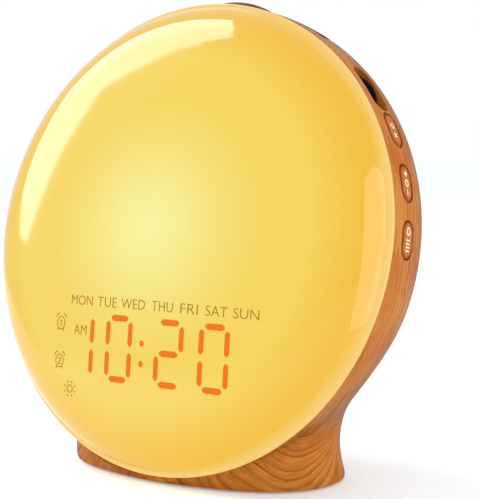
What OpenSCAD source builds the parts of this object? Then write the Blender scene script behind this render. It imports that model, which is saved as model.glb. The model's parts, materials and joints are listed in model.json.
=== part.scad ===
// Sunrise alarm clock: a round domed lamp face on a wood-grain housing that runs down into a flared foot.
// Frame: origin at the middle of the resting face, +Z up, the lit face looks towards -Y and leans back.

/* [Face] */
// Radius of the round face at its rim
rim_r = 87.5; // [85:0.5:90]
// Backward lean of the face, in degrees
face_tilt = 12; // [10:1:14]
// Height of the rim's lowest point above the table
rim_lift = 2.4; // [2:0.1:4]
// Distance from the foot's centre forward to the face's centre
face_setback = 14.5; // [13:0.5:16]
// Height of the dome's crown above the rim
dome_rise = 21.8; // [20:0.2:24]
// Radius of the dome's flat crown
crown_r = 400; // [380:5:420]
// Radius of the dome's rounded shoulder
shoulder_r = 22; // [20:0.5:24]
// Wall of the dome
dome_wall = 2.4; // [2:0.1:3]
// Height of the pale ring between dome and housing
ring_h = 1.6; // [1:0.1:2.4]

/* [Housing] */
// Depth of the bowl behind the face
bowl_depth = 56; // [54:0.5:62]
// Squareness of the bowl's curve, 2 is an ellipse
bowl_power = 2.7; // [2.5:0.05:3]
// Wall of the housing
housing_wall = 2.4; // [2:0.1:2.8]
// Half width of the foot at its waist
waist_half = 55.5; // [54:0.1:57]
// Depth of the foot as a share of its width
foot_aspect = 0.574; // [0.54:0.002:0.6]
// Squareness of the foot's outline, 2 is an ellipse
foot_power = 2.3; // [2.2:0.05:2.6]
// Spread of the foot at the table
foot_flare = 1.5; // [0.6:0.1:2]
// Height of the foot's waist above the table
waist_z = 11.4; // [10:0.1:13]
// Spread of the foot above its waist, where it runs into the bowl
neck_spread = 0.031; // [0.028:0.0005:0.034]
// Thickness of the base plate
base_plate_t = 2.8; // [2.6:0.1:3]
// Thickness of the rubber pad
pad_t = 1.6; // [1.2:0.1:2]
// How far the pad stands below the foot
pad_proud = 0.8; // [0.5:0.1:1]

/* [Side buttons] */
// Length of a side button along the rim
button_len = 13; // [11:0.5:14]
// Width of a side button
button_w = 8; // [7:0.5:8.5]
// Angle of the lowest side button above the face's middle line
button_first = 2.5; // [1:0.5:4]
// Angle between side buttons
button_step = 13; // [12:0.25:14]
// Travel of a side button
button_travel = 0.7; // [0.4:0.1:0.8]
// Gap round a side button
button_gap = 0.4; // [0.3:0.05:0.5]

/* [Snooze bar] */
// Half angle of the snooze bar along the top
bar_half_angle = 29; // [27:0.5:30]
// Angle left free at each end of the bar
bar_end_angle = 3; // [2:0.5:4]
// Length of the recess from front to back
recess_len = 28; // [26:0.5:30]
// Depth of the recess
recess_depth = 5.5; // [5:0.1:6]
// Thickness of the snooze bar
bar_t = 3.4; // [3:0.1:3.6]
// Gap in front of and behind the bar
bar_gap = 0.5; // [0.3:0.05:0.6]
// Width of the bar in front of and behind its raised pad
bar_pad_edge = 1; // [0.8:0.1:3]
// Height of the raised pad
bar_pad_h = 8; // [5:0.1:9]
// Travel of the snooze bar
bar_travel = 1; // [0.6:0.1:1.2]

/* [Sockets] */
// Angle from the upper side button to the USB socket
usb_step = 11.5; // [11:0.25:12.5]
// Length of the USB socket's opening
usb_len = 12.5; // [12:0.1:13]
// Height of the USB socket's opening
usb_h = 5.1; // [4.9:0.1:5.2]
// Depth of the scoop round the USB socket
scoop_depth = 3.2; // [2.8:0.1:3.6]
// Radius of the power inlet's bore
inlet_r = 2.8; // [2.75:0.05:3]
// Radius of the power inlet's centre pin
inlet_pin_r = 1.05; // [0.9:0.05:1.2]
// Height of the power inlet above the table
inlet_z = 17; // [16:0.5:19]

/* [Display] */
// Height of a digit
digit_h = 20.6; // [19:0.2:21]
// Width of a digit between the middles of its upright bars
digit_w = 10.2; // [9.6:0.1:10.6]
// Width of a segment
segment_w = 2; // [1.6:0.1:2.2]
// Middle of the time digits, above the rim's lowest point
digits_up = 43.9; // [42.4:0.2:45]
// Distance from the face's centre line to the display's middle
display_shift = 4; // [3:0.5:5]
// Gap between the light box's lower corner and the rim
box_corner_gap = 7; // [6.5:0.1:9]
// Height of the display's light box
box_h = 39; // [38:0.5:40]

/* [Speaker] */
// Radius of the speaker's flange
speaker_r = 26; // [24:0.5:27]
// Width of a grille slot
slot_w = 2.2; // [1.8:0.1:2.6]
// Distance between grille slots
slot_pitch = 4.4; // [4.2:0.1:5]

/* [Hidden] */

$fn = 96;
seat_gap = 0.3;             // loose fit between curved faces
slide_gap = 0.15;           // close fit of a part in its pocket
cut = 1;                    // how far a cutter runs past the faces it opens
far = 200;                  // longer than any part of the clock
curve_steps = 26;           // straight steps in a moulded curve
board_t = 1.6;              // printed circuit board

// Face
face_height = rim_lift + rim_r * cos(face_tilt);

// Dome
skirt_t = 2.2;
skirt_drop = 3;
dome_floor = 1.5;                           // lip that joins the skirt to the dome
dome_r = rim_r - 0.2;
shoulder_x = dome_r - shoulder_r;
crown_z = dome_rise - crown_r;
shoulder_z = crown_z + sqrt(pow(crown_r - shoulder_r, 2) - pow(shoulder_x, 2));
mouth_r = rim_r - housing_wall;             // inside of the housing at the rim
skirt_r = mouth_r - seat_gap;

// Reflector tray: flange behind the dome's skirt, pan for the lamps
flange_t = 2;
flange_back = skirt_drop + flange_t;
pan_inset = 27.5;
pan_r = rim_r - pan_inset;
pan_wall = 1.6;
pan_floor = 12;
pan_gap = 5;                                // between the light box and the pan
ledge_t = 3;
ledge_w = 6;
pillar_r = 3.6;
pillar_inset = 21.5;
pillar_at = rim_r - pillar_inset;
pillar_end = 30;
button_angles = [for (k = [0:2]) button_first + k * button_step];
usb_angle = button_angles[2] + usb_step;
pillar_step = 16;                           // angle from the USB socket to the upper pillar
pillar_angles = [usb_angle + pillar_step, 180 - usb_angle - pillar_step, 205, 335];
screw_r = 1.5;
screw_head_r = 2.7;
screw_head_h = 2;
thread_gap = 0.05;
well_floor = 3;

// Foot
edge_round = 1.24;
edge_h = 3;
neck_power = 1.79;
neck_top = 40;                              // the foot's section stops growing here, inside the bowl
foot_lean = 0.166;
foot_sweep = 0.0016;
foot_top = neck_top + 8;
foot_inset = housing_wall + 0.6;            // wall round the base plate
foot_rebate = foot_inset + 2;               // shoulder that the base plate stops on
foot_points = 40;
foot_levels = 13;
cavity_top = 42;
base_screw_inset = foot_rebate + 3;
base_boss_r = 3.5;
base_boss_h = 8;
base_head_h = 1.2;
ballast_w = 44;
ballast_d = 22;
ballast_t = 5;
base_screw_angles = [45, 135, 225, 315];

// Side controls
usb_wall = 0.3;
switch_board_at = flange_back + seat_gap + usb_h + 2 * usb_wall;    // the USB socket sits on it
switch_inset = 10.5;
switch_board_w = 14;
switch_out_r = rim_r - switch_inset;
switch_in_r = switch_out_r - switch_board_w;
switch_body = 6;
switch_h = 4.4;
switch_reach = 3.4;
switch_post_r = 2.4;
button_back = flange_back + seat_gap + (button_w + button_gap) / 2;
button_proud = 0.25;
button_flange = 1;
button_flange_t = 1.2;
stem_r = 1.6;
plunger_r = 1.5;
plunger_gap = 0.15;
usb_depth = 14;
usb_mouth_gap = 0.3;
tub_wall = 1.2;
tub_gap = 0.2;                              // from the reflector tray's flange
recess_half_angle = bar_half_angle + bar_end_angle;
recess_front = flange_back + tub_gap + tub_wall;
bar_pad_r = recess_len / 2 - bar_pad_edge;
scoop_len = usb_len + 8;
scoop_w = usb_h + 4;
bar_plunger_x = 24;
bar_plunger_r = 2;
bar_switch_angles = [90 - asin(bar_plunger_x / pillar_at), 90 + asin(bar_plunger_x / pillar_at)];

// Display
segment_gap = 0.5;
digit_centres = [-25.7, -7.7, 14.8, 33];
colon_x = 2.7;
colon_spread = 3.7;
guide_gap = 0.15;
film_t = 0.3;
digits_down = rim_r - digits_up;
box_over_digits = 2.1;                      // the box sits a little above the digits' middle
box_x = display_shift;
box_y = -(digits_down - box_over_digits);
box_low = box_y - box_h / 2;
box_w = 2 * (sqrt(pow(rim_r - box_corner_gap, 2) - pow(box_low, 2)) - box_x);
pan_low = box_y + box_h / 2 + pan_gap;      // the pan's straight lower edge
display_margin = 1.5;
display_inset = 5;

// Main board
main_w = 84;
main_lap = 1;                               // the board reaches past the pan's lower edge
main_top = pillar_at * sin(pillar_angles[0]) - 14.7;
main_h = main_top - pan_low + main_lap;
main_post_in = 4;                           // from the board's edges to its screws
main_y = main_top - main_h / 2;
main_at = 18;                               // front face, behind the rim
main_post_x = main_w / 2 - main_post_in;
main_post_y = main_h / 2 - main_post_in;
small_screw_r = 1.1;
small_head_r = 2.1;
small_head_h = 1.3;
post_r = 2.6;
cell_r = 10;
cell_t = 3.2;
cell_x = -26;
cell_y = main_top - 17;

// Leads
wire_r = 0.8;
lead_x = 20;
speaker_lead_y = main_y - main_h / 2 + 12;
basket_share = 0.655;                       // where along the basket the speaker's leads start
lead_top = main_y - main_h / 2 + 1.5;       // lower side of the inlet's connector

// Speaker, on the face's axis with its cone towards the back
speaker_seat = bowl_depth - housing_wall - 5;
speaker_flange_t = 1.4;
gasket_t = 1;
capacitor_h = 6;
capacitor_r = 2.5;
// Chips on the main board: places from its middle, sizes across, up and thick
processor_x = 4;
processor_y = 8;
processor_w = 12;
processor_t = 1.6;
right_chip_x = 24;
driver_y = 10;
driver_w = 8;
driver_h = 6;
amplifier_y = -8;
amplifier_w = 6;
amplifier_h = 5;
small_chip_t = 1.5;
supply_x = -5;
supply_up = 15;                             // from the board's lower edge
supply_w = 9;
supply_h = 7;
supply_t = 2;
// Connectors along the main board's edges
connector_in = 4;                           // from the edge to their middle
connector_h = 5;
connector_t = 4;
display_plug_w = 22;
light_plug_x = -12;
power_plug_x = 20;
small_plug_w = 10;
// Flat cables between the boards
ribbon_t = 0.5;
display_ribbon_w = 18;
led_ribbon_w = 8;
magnet_gap = 2;                             // between the magnet and the tallest part on the main board
speaker_deep = speaker_seat - gasket_t - main_at - board_t - capacitor_h - magnet_gap;
cone_r = speaker_r - 4;
magnet_r = 14;
magnet_t = 7;
collar_t = 2;
surround_t = 0.4;
frame_plate_t = 1.2;
coil_gap = 2.8;
basket_top_r = speaker_r - 3;
basket_low_r = magnet_r + 1;
lead_clearance = 0.44;
speaker_lead_r = basket_top_r - basket_share * (basket_top_r - basket_low_r) + wire_r + lead_clearance;
coil_end = speaker_deep - magnet_t - frame_plate_t - coil_gap;
grille_r = speaker_r - 5;

// Power inlet in the back of the foot
inlet_len = 14;
inlet_body_w = 9.6;
inlet_body_h = 11;
inlet_nose_r = 4;
inlet_nose_gap = 0.2;
inlet_wall = 9;                             // from the back of the foot to the inlet's seat
inlet_back = foot_half(inlet_z) * foot_aspect + foot_middle(inlet_z);
inlet_seat_y = inlet_back - inlet_wall;
inlet_nose = inlet_wall - 0.4;
inlet_block = 3;
inlet_block_t = 8;
inlet_bore = 11;

// Frame of the round face: +Z out of the face, origin at the middle of the rim
module on_face() translate([0, -face_setback, face_height]) rotate([90 - face_tilt, 0, 0]) children();
// Frame at an angle round the face: +X outwards, origin on the face's axis
module at_angle(a) rotate([0, 0, a]) children();

function power(v, e) = sign(v) * pow(abs(v), e);
// Radius of the bowl, set in by i, at depth w behind the rim
function bowl_radius(w, i = 0) = (rim_r - i)
    * pow(1 - pow(w / (bowl_depth - i), bowl_power), 1 / bowl_power);
function bowl_curve(i) = [for (k = [0:curve_steps]) let (a = 90 * k / curve_steps)
    [(rim_r - i) * pow(cos(a), 2 / bowl_power), -(bowl_depth - i) * pow(sin(a), 2 / bowl_power)]];
function arc(x, z, r, from, to, n) = [for (k = [0:n]) let (a = from + (to - from) * k / n)
    [x + r * cos(a), z + r * sin(a)]];
tangent_angle = atan2(shoulder_z - crown_z, shoulder_x);
// Outline of the dome from its ledge on the ring up to its crown, set in by i
function dome_curve(i, from_z) = let (start = asin((from_z - shoulder_z) / (shoulder_r - i))) concat(
    arc(shoulder_x, shoulder_z, shoulder_r - i, start, tangent_angle, curve_steps),
    [for (p = arc(0, crown_z, crown_r - i, tangent_angle, 90, 12)) if (p.x < shoulder_x - 1) p]);

module dome_solid(i, from_z) rotate_extrude()
    polygon(concat([[0, from_z]], dome_curve(i, from_z)));

// Bowl set in by i; a cutter reaches up past the rim
module bowl_solid(i, up = 0) rotate_extrude()
    polygon(concat(up > 0 ? [[0, up], [rim_r - i, up]] : [[0, 0]], bowl_curve(i)));

// Foot: outline of its section at height z, set in by i, cut off at the plane of the rim
function foot_half(z) = waist_half + neck_spread * pow(max(0, min(z, neck_top) - waist_z), neck_power)
    + foot_flare * pow(max(0, 1 - z / waist_z), 2) - edge_round * pow(max(0, 1 - z / edge_h), 2);
function foot_middle(z) = -(foot_lean + foot_sweep * z) * z;
function rim_plane_y(z) = -face_setback - (face_height - z) * tan(face_tilt);
function foot_outline(z, i, n) = let (a = foot_half(z) - i, b = foot_half(z) * foot_aspect - i)
    [for (k = [0:n - 1]) let (q = 360 * k / n)
        [a * power(cos(q), 2 / foot_power),
         max(b * power(sin(q), 2 / foot_power) + foot_middle(z), rim_plane_y(z))]];
module foot_loft(from_z, n, levels) {
    rings = [for (k = [0:levels]) let (z = from_z + (foot_top - from_z) * pow(k / levels, 1.6))
        [for (p = foot_outline(z, 0, n)) [p.x, p.y, z]]];
    polyhedron(points = [for (ring = rings) each ring],
        faces = concat([[for (k = [0:n - 1]) k]], [[for (k = [n - 1:-1:0]) levels * n + k]],
            [for (j = [0:levels - 1]) for (k = [0:n - 1]) let (m = (k + 1) % n) each
                [[j * n + k, (j + 1) * n + k, j * n + m], [(j + 1) * n + k, (j + 1) * n + m, j * n + m]]]));
}

// Slot with round ends, long side along Y
module stadium(len, w) {
    square([w, len - w], center = true);
    for (s = [-1, 1]) translate([0, s * (len - w) / 2]) circle(w / 2, $fn = 32);
}
// Lies across the radius at an angle: the outline's Y runs round the rim, its X towards the front
module radial(a, w, from_r, len) at_angle(a) translate([from_r, 0, -w]) rotate([0, 90, 0])
    linear_extrude(len) children();
// Piece of a ring that follows the bowl's curve between two depths behind the rim
module bowl_band(half_angle, front, back, outer_inset, inner_inset) at_angle(90 - half_angle)
    rotate_extrude(angle = 2 * half_angle) polygon(concat(
        [for (k = [0:10]) let (w = front + (back - front) * k / 10)
            [bowl_radius(w, 0) - outer_inset, -w]],
        [for (k = [10:-1:0]) let (w = front + (back - front) * k / 10)
            [bowl_radius(w, 0) - inner_inset, -w]]));

module pan_outline(i) intersection() {
    circle(pan_r - i);
    translate([-far, pan_low + i]) square(2 * far);
}
module box_outline(grow) translate([box_x, box_y])
    square([box_w + 2 * grow, box_h + 2 * grow], center = true);
module layer(from_z, t) translate([0, 0, from_z]) linear_extrude(t) children();
module post(x, y, r, from_z, len) translate([x, y, from_z]) cylinder(r = r, h = len, $fn = 32);

switch_posts = [button_first - 8, button_first + 1.5 * button_step, usb_angle + 9.5];
top_board_from = pillar_angles[0] + 4;
top_posts = [top_board_from + 4, 90, 176 - top_board_from];

module dome() color("#F6D468") on_face() {
    difference() {
        dome_solid(0, ring_h);
        translate([0, 0, -cut]) cylinder(r = skirt_r - skirt_t, h = ring_h + dome_floor + 2 * cut);
        dome_solid(dome_wall, ring_h + dome_floor);
    }
    difference() {
        translate([0, 0, -skirt_drop]) cylinder(r = skirt_r, h = skirt_drop + ring_h + dome_floor / 2);
        translate([0, 0, -skirt_drop - cut])
            cylinder(r = skirt_r - skirt_t, h = skirt_drop + ring_h + dome_floor + 2 * cut);
    }
}

module rim_ring() color("#FFDE87") on_face() difference() {
    cylinder(r1 = rim_r - 0.1, r2 = rim_r - 0.6, h = ring_h);
    translate([0, 0, -cut]) cylinder(r = mouth_r - slide_gap, h = ring_h + 2 * cut);
}

module button_hole(a) {
    radial(a, button_back, mouth_r - 12, 30)
        stadium(button_len + 2 * button_gap, button_w + 2 * button_gap);
    radial(a, button_back, mouth_r - 12, 11.6)
        stadium(button_len + 2 * button_flange + 1, button_w + 2 * button_gap);
}

module grille() intersection() {
    circle(grille_r - 1);
    for (y = [-4:4]) translate([0, y * slot_pitch]) square([2 * grille_r, slot_w], center = true);
}

module housing_body() difference() {
    union() {
        difference() {
            union() {
                on_face() bowl_solid(0);
                foot_loft(pad_proud, foot_points, foot_levels);
            }
            on_face() bowl_solid(housing_wall, cut);
            linear_extrude(cavity_top) polygon(foot_outline(pad_proud, foot_rebate, foot_points));
        }
        on_face() {
            // Ledge that the reflector tray's flange rests on
            translate([0, 0, -flange_back - ledge_t]) difference() {
                cylinder(r = mouth_r + 0.2, h = ledge_t);
                translate([0, 0, -cut]) cylinder(r = mouth_r - ledge_w, h = ledge_t + 2 * cut);
            }
            // Tub under the snooze bar
            bowl_band(recess_half_angle + tub_wall, recess_front - tub_wall,
                recess_front + recess_len + tub_wall, 1, recess_depth + tub_wall);
            // Screw bosses that meet the tray's pillars
            for (a = pillar_angles) at_angle(a) translate([pillar_at, 0, 0]) intersection() {
                translate([0, 0, -far]) cylinder(r = pillar_r + 1, h = far - pillar_end, $fn = 32);
                translate([-pillar_at, 0, 0]) bowl_solid(1);
            }
            // Collar round the speaker and the seat for its gasket
            translate([0, 0, -bowl_depth + 1.5]) difference() {
                cylinder(r = speaker_r + slide_gap + collar_t, h = bowl_depth - 1.5 - speaker_seat + 4);
                translate([0, 0, -cut]) cylinder(r = grille_r, h = far);
                translate([0, 0, bowl_depth - 1.5 - speaker_seat])
                    cylinder(r = speaker_r + slide_gap, h = far);
            }
        }
        // Bosses for the base plate's screws
        for (q = base_screw_angles) base_screw_at(q) translate([0, 0, pad_proud + base_plate_t])
            cylinder(r = base_boss_r, h = base_boss_h, $fn = 32);
        // Block that the power inlet seats against
        translate([0, inlet_seat_y + inlet_block_t / 2, inlet_z])
            cube([inlet_body_w + 2 * inlet_block, inlet_block_t, inlet_body_h + inlet_block],
                center = true);
    }
    on_face() bowl_band(recess_half_angle, recess_front, recess_front + recess_len, -4, recess_depth);
}

module housing() color("#BE783C") difference() {
    housing_body();
    translate([0, 0, -cut]) linear_extrude(pad_proud + base_plate_t + cut)
        polygon(foot_outline(pad_proud, foot_inset, foot_points));
    on_face() {
        for (side = [0, 1]) mirror([side, 0, 0]) for (a = button_angles) button_hole(a);
        for (s = [-1, 1]) translate([s * bar_plunger_x, mouth_r - 25, -switch_mid()]) rotate([-90, 0, 0])
            cylinder(r = bar_plunger_r + 0.4, h = 25, $fn = 32);
        usb_scoop();
        for (a = pillar_angles) at_angle(a) translate([pillar_at, 0, -far]) {
            cylinder(r = screw_head_r + 0.7, h = far - pillar_end - well_floor, $fn = 32);
            cylinder(r = screw_r + 0.2, h = far, $fn = 32);
        }
        translate([0, 0, -bowl_depth - cut]) linear_extrude(bowl_depth + cut - speaker_seat - 0.5) grille();
    }
    for (q = base_screw_angles) base_screw_at(q)
        cylinder(r = screw_r + thread_gap, h = pad_proud + base_plate_t + base_boss_h - 1, $fn = 32);
    translate([0, inlet_seat_y - cut, inlet_z]) rotate([-90, 0, 0])
        cylinder(r = inlet_nose_r + inlet_nose_gap, h = 30, $fn = 48);
}

function switch_mid() = switch_board_at - switch_h / 2;

module base_screw_at(q) translate([
    (foot_half(pad_proud) - base_screw_inset) * power(cos(q), 2 / foot_power),
    (foot_half(pad_proud) * foot_aspect - base_screw_inset) * power(sin(q), 2 / foot_power), 0]) children();

// Finger scoop and through slot for the USB socket
module usb_scoop() {
    radial(usb_angle, usb_mid(), usb_face_r(), 20) stadium(scoop_len, scoop_w);
    radial(usb_angle, usb_mid(), mouth_r - 12, 20)
        square([usb_h + 2 * usb_wall + 2 * slide_gap, usb_len + 2 * usb_wall + 2 * slide_gap],
            center = true);
}
function usb_mid() = flange_back + seat_gap + usb_wall + usb_h / 2;
function usb_face_r() = bowl_radius(usb_mid(), 0) - scoop_depth;

module base_plate() color("#4A4038") difference() {
    translate([0, 0, pad_proud]) linear_extrude(base_plate_t)
        polygon(foot_outline(pad_proud, foot_inset + slide_gap, foot_points));
    translate([0, 0, -cut]) linear_extrude(pad_t + cut)
        polygon(foot_outline(pad_proud, foot_inset + 3 - slide_gap, foot_points));
    for (q = base_screw_angles) base_screw_at(q) {
        cylinder(r = screw_r + 0.2, h = far, $fn = 32);
        cylinder(r = screw_head_r + 0.2, h = pad_t + base_head_h, $fn = 32);
    }
}

module base_screws() color("silver") for (q = base_screw_angles) base_screw_at(q) translate([0, 0, pad_t]) {
    cylinder(r = screw_head_r, h = base_head_h, $fn = 32);
    cylinder(r = screw_r, h = base_boss_h, $fn = 32);
}

module ballast() color("#8A8D90") translate([-ballast_w / 2, -ballast_d / 2, pad_proud + base_plate_t])
    cube([ballast_w, ballast_d, ballast_t]);

module rubber_pad() color("#262422") linear_extrude(pad_t)
    polygon(foot_outline(pad_proud, foot_inset + 3, foot_points));

module reflector_tray() color("#F4F1EA") on_face() difference() {
    union() {
        layer(-flange_back, flange_t) difference() {
            circle(skirt_r);
            pan_outline(pan_wall);
        }
        layer(-pan_floor, pan_floor - skirt_drop) difference() {
            pan_outline(0);
            pan_outline(pan_wall);
        }
        layer(-pan_floor - pan_wall, pan_wall) pan_outline(0);
        for (a = pillar_angles) at_angle(a)
            post(pillar_at, 0, pillar_r, -pillar_end, pillar_end - flange_back + cut);
        for (x = [-1, 1]) for (y = [-1, 1]) post(x * main_post_x, main_y + y * main_post_y, post_r,
            -main_at, main_at - pan_floor - pan_wall + cut);
        for (side = [0, 1]) mirror([side, 0, 0]) for (a = switch_posts) at_angle(a)
            post(switch_in_r + 3, 0, switch_post_r, -switch_board_at, switch_board_at - flange_back + cut);
        for (a = top_posts) at_angle(a)
            post(switch_in_r + 3, 0, switch_post_r, -switch_board_at, switch_board_at - flange_back + cut);
    }
    layer(-flange_back - cut, flange_t + 2 * cut) box_outline(slide_gap);
    for (a = pillar_angles) at_angle(a)
        post(pillar_at, 0, screw_r + thread_gap, -pillar_end - cut, pillar_end - flange_back);
    for (x = [-1, 1]) for (y = [-1, 1]) post(x * main_post_x, main_y + y * main_post_y,
        small_screw_r + thread_gap, -main_at - cut, main_at - pan_floor);
    for (side = [0, 1]) mirror([side, 0, 0]) for (a = switch_posts) at_angle(a)
        post(switch_in_r + 3, 0, small_screw_r + thread_gap, -switch_board_at - cut,
            switch_board_at - flange_back);
    for (a = top_posts) at_angle(a)
        post(switch_in_r + 3, 0, small_screw_r + thread_gap, -switch_board_at - cut,
            switch_board_at - flange_back);
}

module housing_screws() color("silver") on_face() for (a = pillar_angles) at_angle(a) {
    post(pillar_at, 0, screw_head_r, -pillar_end - well_floor - screw_head_h, screw_head_h);
    post(pillar_at, 0, screw_r, -pillar_end - well_floor, 18);
}

module led_board() color("#F2F2EE") on_face() layer(-pan_floor, board_t) pan_outline(pan_wall + seat_gap);

lamp_pitch = 13;
lamp_edge = 8;                              // from the lamps to the pan's wall
lamp_clear = 4.6;                           // from the lamps to the board's screws
lamp_screw_r = pan_r - 12;
lamp_screws = [for (a = [50, 130]) lamp_screw_r * [cos(a), sin(a)],
    for (s = [-1, 1]) [s * (lamp_screw_r - 2), pan_low + 8]];
module leds() color("#FFF3C0") on_face()
    for (x = [-4:4]) for (y = [-1:4])
        let (p = [x * lamp_pitch, y * lamp_pitch + 3])
            if (norm(p) < pan_r - lamp_edge && p.y > pan_low + lamp_edge / 2
                    && min([for (q = lamp_screws) norm(p - q)]) > lamp_clear)
                translate([p.x, p.y, -pan_floor + board_t + 0.8]) cube([3.5, 2.8, 1.6], center = true);

module led_board_screws() color("silver") on_face() for (p = lamp_screws)
    post(p.x, p.y, small_head_r, -pan_floor + board_t, small_head_h);

module display_board() color("#1E5B3A") on_face()
    layer(-flange_back - board_t, board_t) translate([box_x, box_y])
        square([box_w - 2 * display_inset, box_h + 2 * display_margin], center = true);

module segment(x, y, len, upright) translate([x, y]) rotate([0, 0, upright ? 90 : 0])
    polygon([[-len / 2, 0], [-len / 2 + segment_w / 2, segment_w / 2],
        [len / 2 - segment_w / 2, segment_w / 2], [len / 2, 0],
        [len / 2 - segment_w / 2, -segment_w / 2], [-len / 2 + segment_w / 2, -segment_w / 2]]);
module digit_segments(grow) {
    bar = digit_h / 2 - segment_gap;
    for (x = digit_centres) translate([x, -digits_down]) {
        for (s = [-1, 1]) for (t = [-1, 1])
            segment(s * digit_w / 2, t * digit_h / 4, bar - 0.4 + grow, true);
        for (t = [-1:1]) segment(0, t * digit_h / 2, digit_w - 2 * segment_gap + grow, false);
    }
    for (t = [-1, 1]) translate([colon_x, -digits_down + t * colon_spread]) circle(1.1, $fn = 24);
}

module box_front(i) intersection() {
    dome_solid(dome_wall + i, ring_h);
    layer(0, far) box_outline(0);
}

module display_light_box() color("#E9E6DE") on_face() difference() {
    union() {
        layer(-flange_back, flange_back + ring_h + 0.1) box_outline(0);
        box_front(film_t + seat_gap);
    }
    translate([0, 0, -flange_back - cut]) linear_extrude(far) digit_segments(guide_gap);
}

module digit_light_guides() color("#F57A1F") on_face() intersection() {
    translate([0, 0, -flange_back]) linear_extrude(far) digit_segments(-guide_gap);
    union() {
        layer(-flange_back, flange_back + ring_h + 0.1) box_outline(0);
        box_front(film_t + seat_gap);
    }
}

module display_film() color("#D9B25A") on_face() intersection() {
    difference() {
        dome_solid(dome_wall + seat_gap / 2, ring_h);
        dome_solid(dome_wall + seat_gap / 2 + film_t, ring_h);
    }
    layer(ring_h + 2, far) box_outline(-0.5);
}

module display_screws() color("silver") on_face() for (s = [-1, 1]) for (t = [-1, 1])
    post(box_x + s * (box_w / 2 - 9), box_y + t * (box_h / 2 - 4), small_head_r,
        -flange_back - board_t - small_head_h, small_head_h);

module main_board() color("#1E5B3A") on_face() difference() {
    layer(-main_at - board_t, board_t) translate([0, main_y]) square([main_w, main_h], center = true);
    for (x = [-1, 1]) for (y = [-1, 1])
        post(x * main_post_x, main_y + y * main_post_y, small_screw_r + 0.2,
            -main_at - 2 * board_t, 3 * board_t);
}

module on_main_back(x, y, w, h, t) on_face()
    translate([x - w / 2, main_y + y - h / 2, -main_at - board_t - t]) cube([w, h, t]);

module chips() color("#202020") {
    on_main_back(processor_x, processor_y, processor_w, processor_w, processor_t);
    on_main_back(right_chip_x, driver_y, driver_w, driver_h, small_chip_t);
    on_main_back(right_chip_x, amplifier_y, amplifier_w, amplifier_h, small_chip_t);
    on_main_back(supply_x, supply_up - main_h / 2, supply_w, supply_h, supply_t);
}

module capacitors() color("#3A3F55") on_face() for (p = [[-14, -8], [-22, -14], [34, 2]])
    post(p.x, main_y + p.y, capacitor_r, -main_at - board_t - capacitor_h, capacitor_h);

module board_connectors() color("#E8E4D8") {
    on_main_back(0, connector_in - main_h / 2, display_plug_w, connector_h, connector_t);
    on_main_back(light_plug_x, main_h / 2 - connector_in, small_plug_w, connector_h, connector_t);
    on_main_back(power_plug_x, connector_in - main_h / 2, small_plug_w, connector_h, connector_t);
}

module coin_cell_holder() color("#303030") on_face()
translate([cell_x, cell_y, -main_at - board_t]) difference() {
    translate([0, 0, -cell_t - 1]) cylinder(r = cell_r + 1.6, h = cell_t + 1);
    translate([0, 0, -cell_t - 1 - cut]) cylinder(r = cell_r + slide_gap, h = cell_t + cut);
}

module coin_cell() color("silver") on_face() translate([cell_x, cell_y, -main_at - board_t - 1 - cell_t])
    cylinder(r = cell_r, h = cell_t);

module main_board_screws() color("silver") on_face() for (x = [-1, 1]) for (y = [-1, 1]) {
    post(x * main_post_x, main_y + y * main_post_y, small_head_r, -main_at - board_t - small_head_h,
        small_head_h);
    post(x * main_post_x, main_y + y * main_post_y, small_screw_r, -main_at - board_t, board_t + 3.5);
}

// Flat ribbon from the main board's lower edge round to the back of the display board
module display_ribbon() color("#D8D8D8") on_face() {
    z0 = -main_at - board_t;
    y0 = main_y - main_h / 2;
    translate([0, y0 - 4, z0 - 1]) rotate([90, 0, 90])
    linear_extrude(display_ribbon_w, center = true) difference() {
        square([4, -flange_back - board_t - z0 + 1]);
        translate([ribbon_t, ribbon_t]) square([4, -flange_back - board_t - z0 + 1]);
    }
}

module led_ribbon() color("#D8D8D8") on_face()
    translate([light_plug_x - led_ribbon_w / 2, main_y + main_h / 2 - 1, -main_at])
        cube([led_ribbon_w, ribbon_t, main_at - pan_floor - pan_wall]);

module speaker_frame() color("#2B2B2B") on_face() translate([0, 0, -speaker_seat + gasket_t]) difference() {
    rotate_extrude() polygon([[cone_r, 0], [speaker_r, 0], [speaker_r, speaker_flange_t],
        [basket_top_r, speaker_flange_t], [basket_low_r, speaker_deep - magnet_t],
        [5, speaker_deep - magnet_t], [5, speaker_deep - magnet_t - frame_plate_t],
        [magnet_r, speaker_deep - magnet_t - frame_plate_t]]);
    for (a = [0:60:300]) at_angle(a + 30)
        translate([magnet_r + 4, 0, 4]) cylinder(r = 2.6, h = far, $fn = 24);
}

module speaker_cone() color("#171717") on_face()
translate([0, 0, -speaker_seat + gasket_t]) rotate_extrude()
    polygon([[0, coil_end * 0.38], [5.6, coil_end * 0.22], [7, coil_end * 0.49], [cone_r - 3, 0.4],
        [cone_r - 2, -surround_t], [cone_r + surround_t, -surround_t],
        [cone_r + surround_t, 0], [cone_r - 1.6, 0],
        [cone_r - 2.6, 0.9], [6.6, coil_end * 0.66], [6.6, coil_end], [6, coil_end], [6, coil_end * 0.51],
        [5.2, coil_end * 0.33], [0, coil_end * 0.48]]);

module speaker_magnet() color("#6E6E72") on_face()
    translate([0, 0, -speaker_seat + gasket_t + speaker_deep - magnet_t])
        cylinder(r = magnet_r, h = magnet_t);

module speaker_gasket() color("#3A3A3A") on_face() translate([0, 0, -speaker_seat]) difference() {
    cylinder(r = speaker_r, h = gasket_t);
    translate([0, 0, -cut]) cylinder(r = cone_r + 0.5, h = gasket_t + 2 * cut);
}

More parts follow.
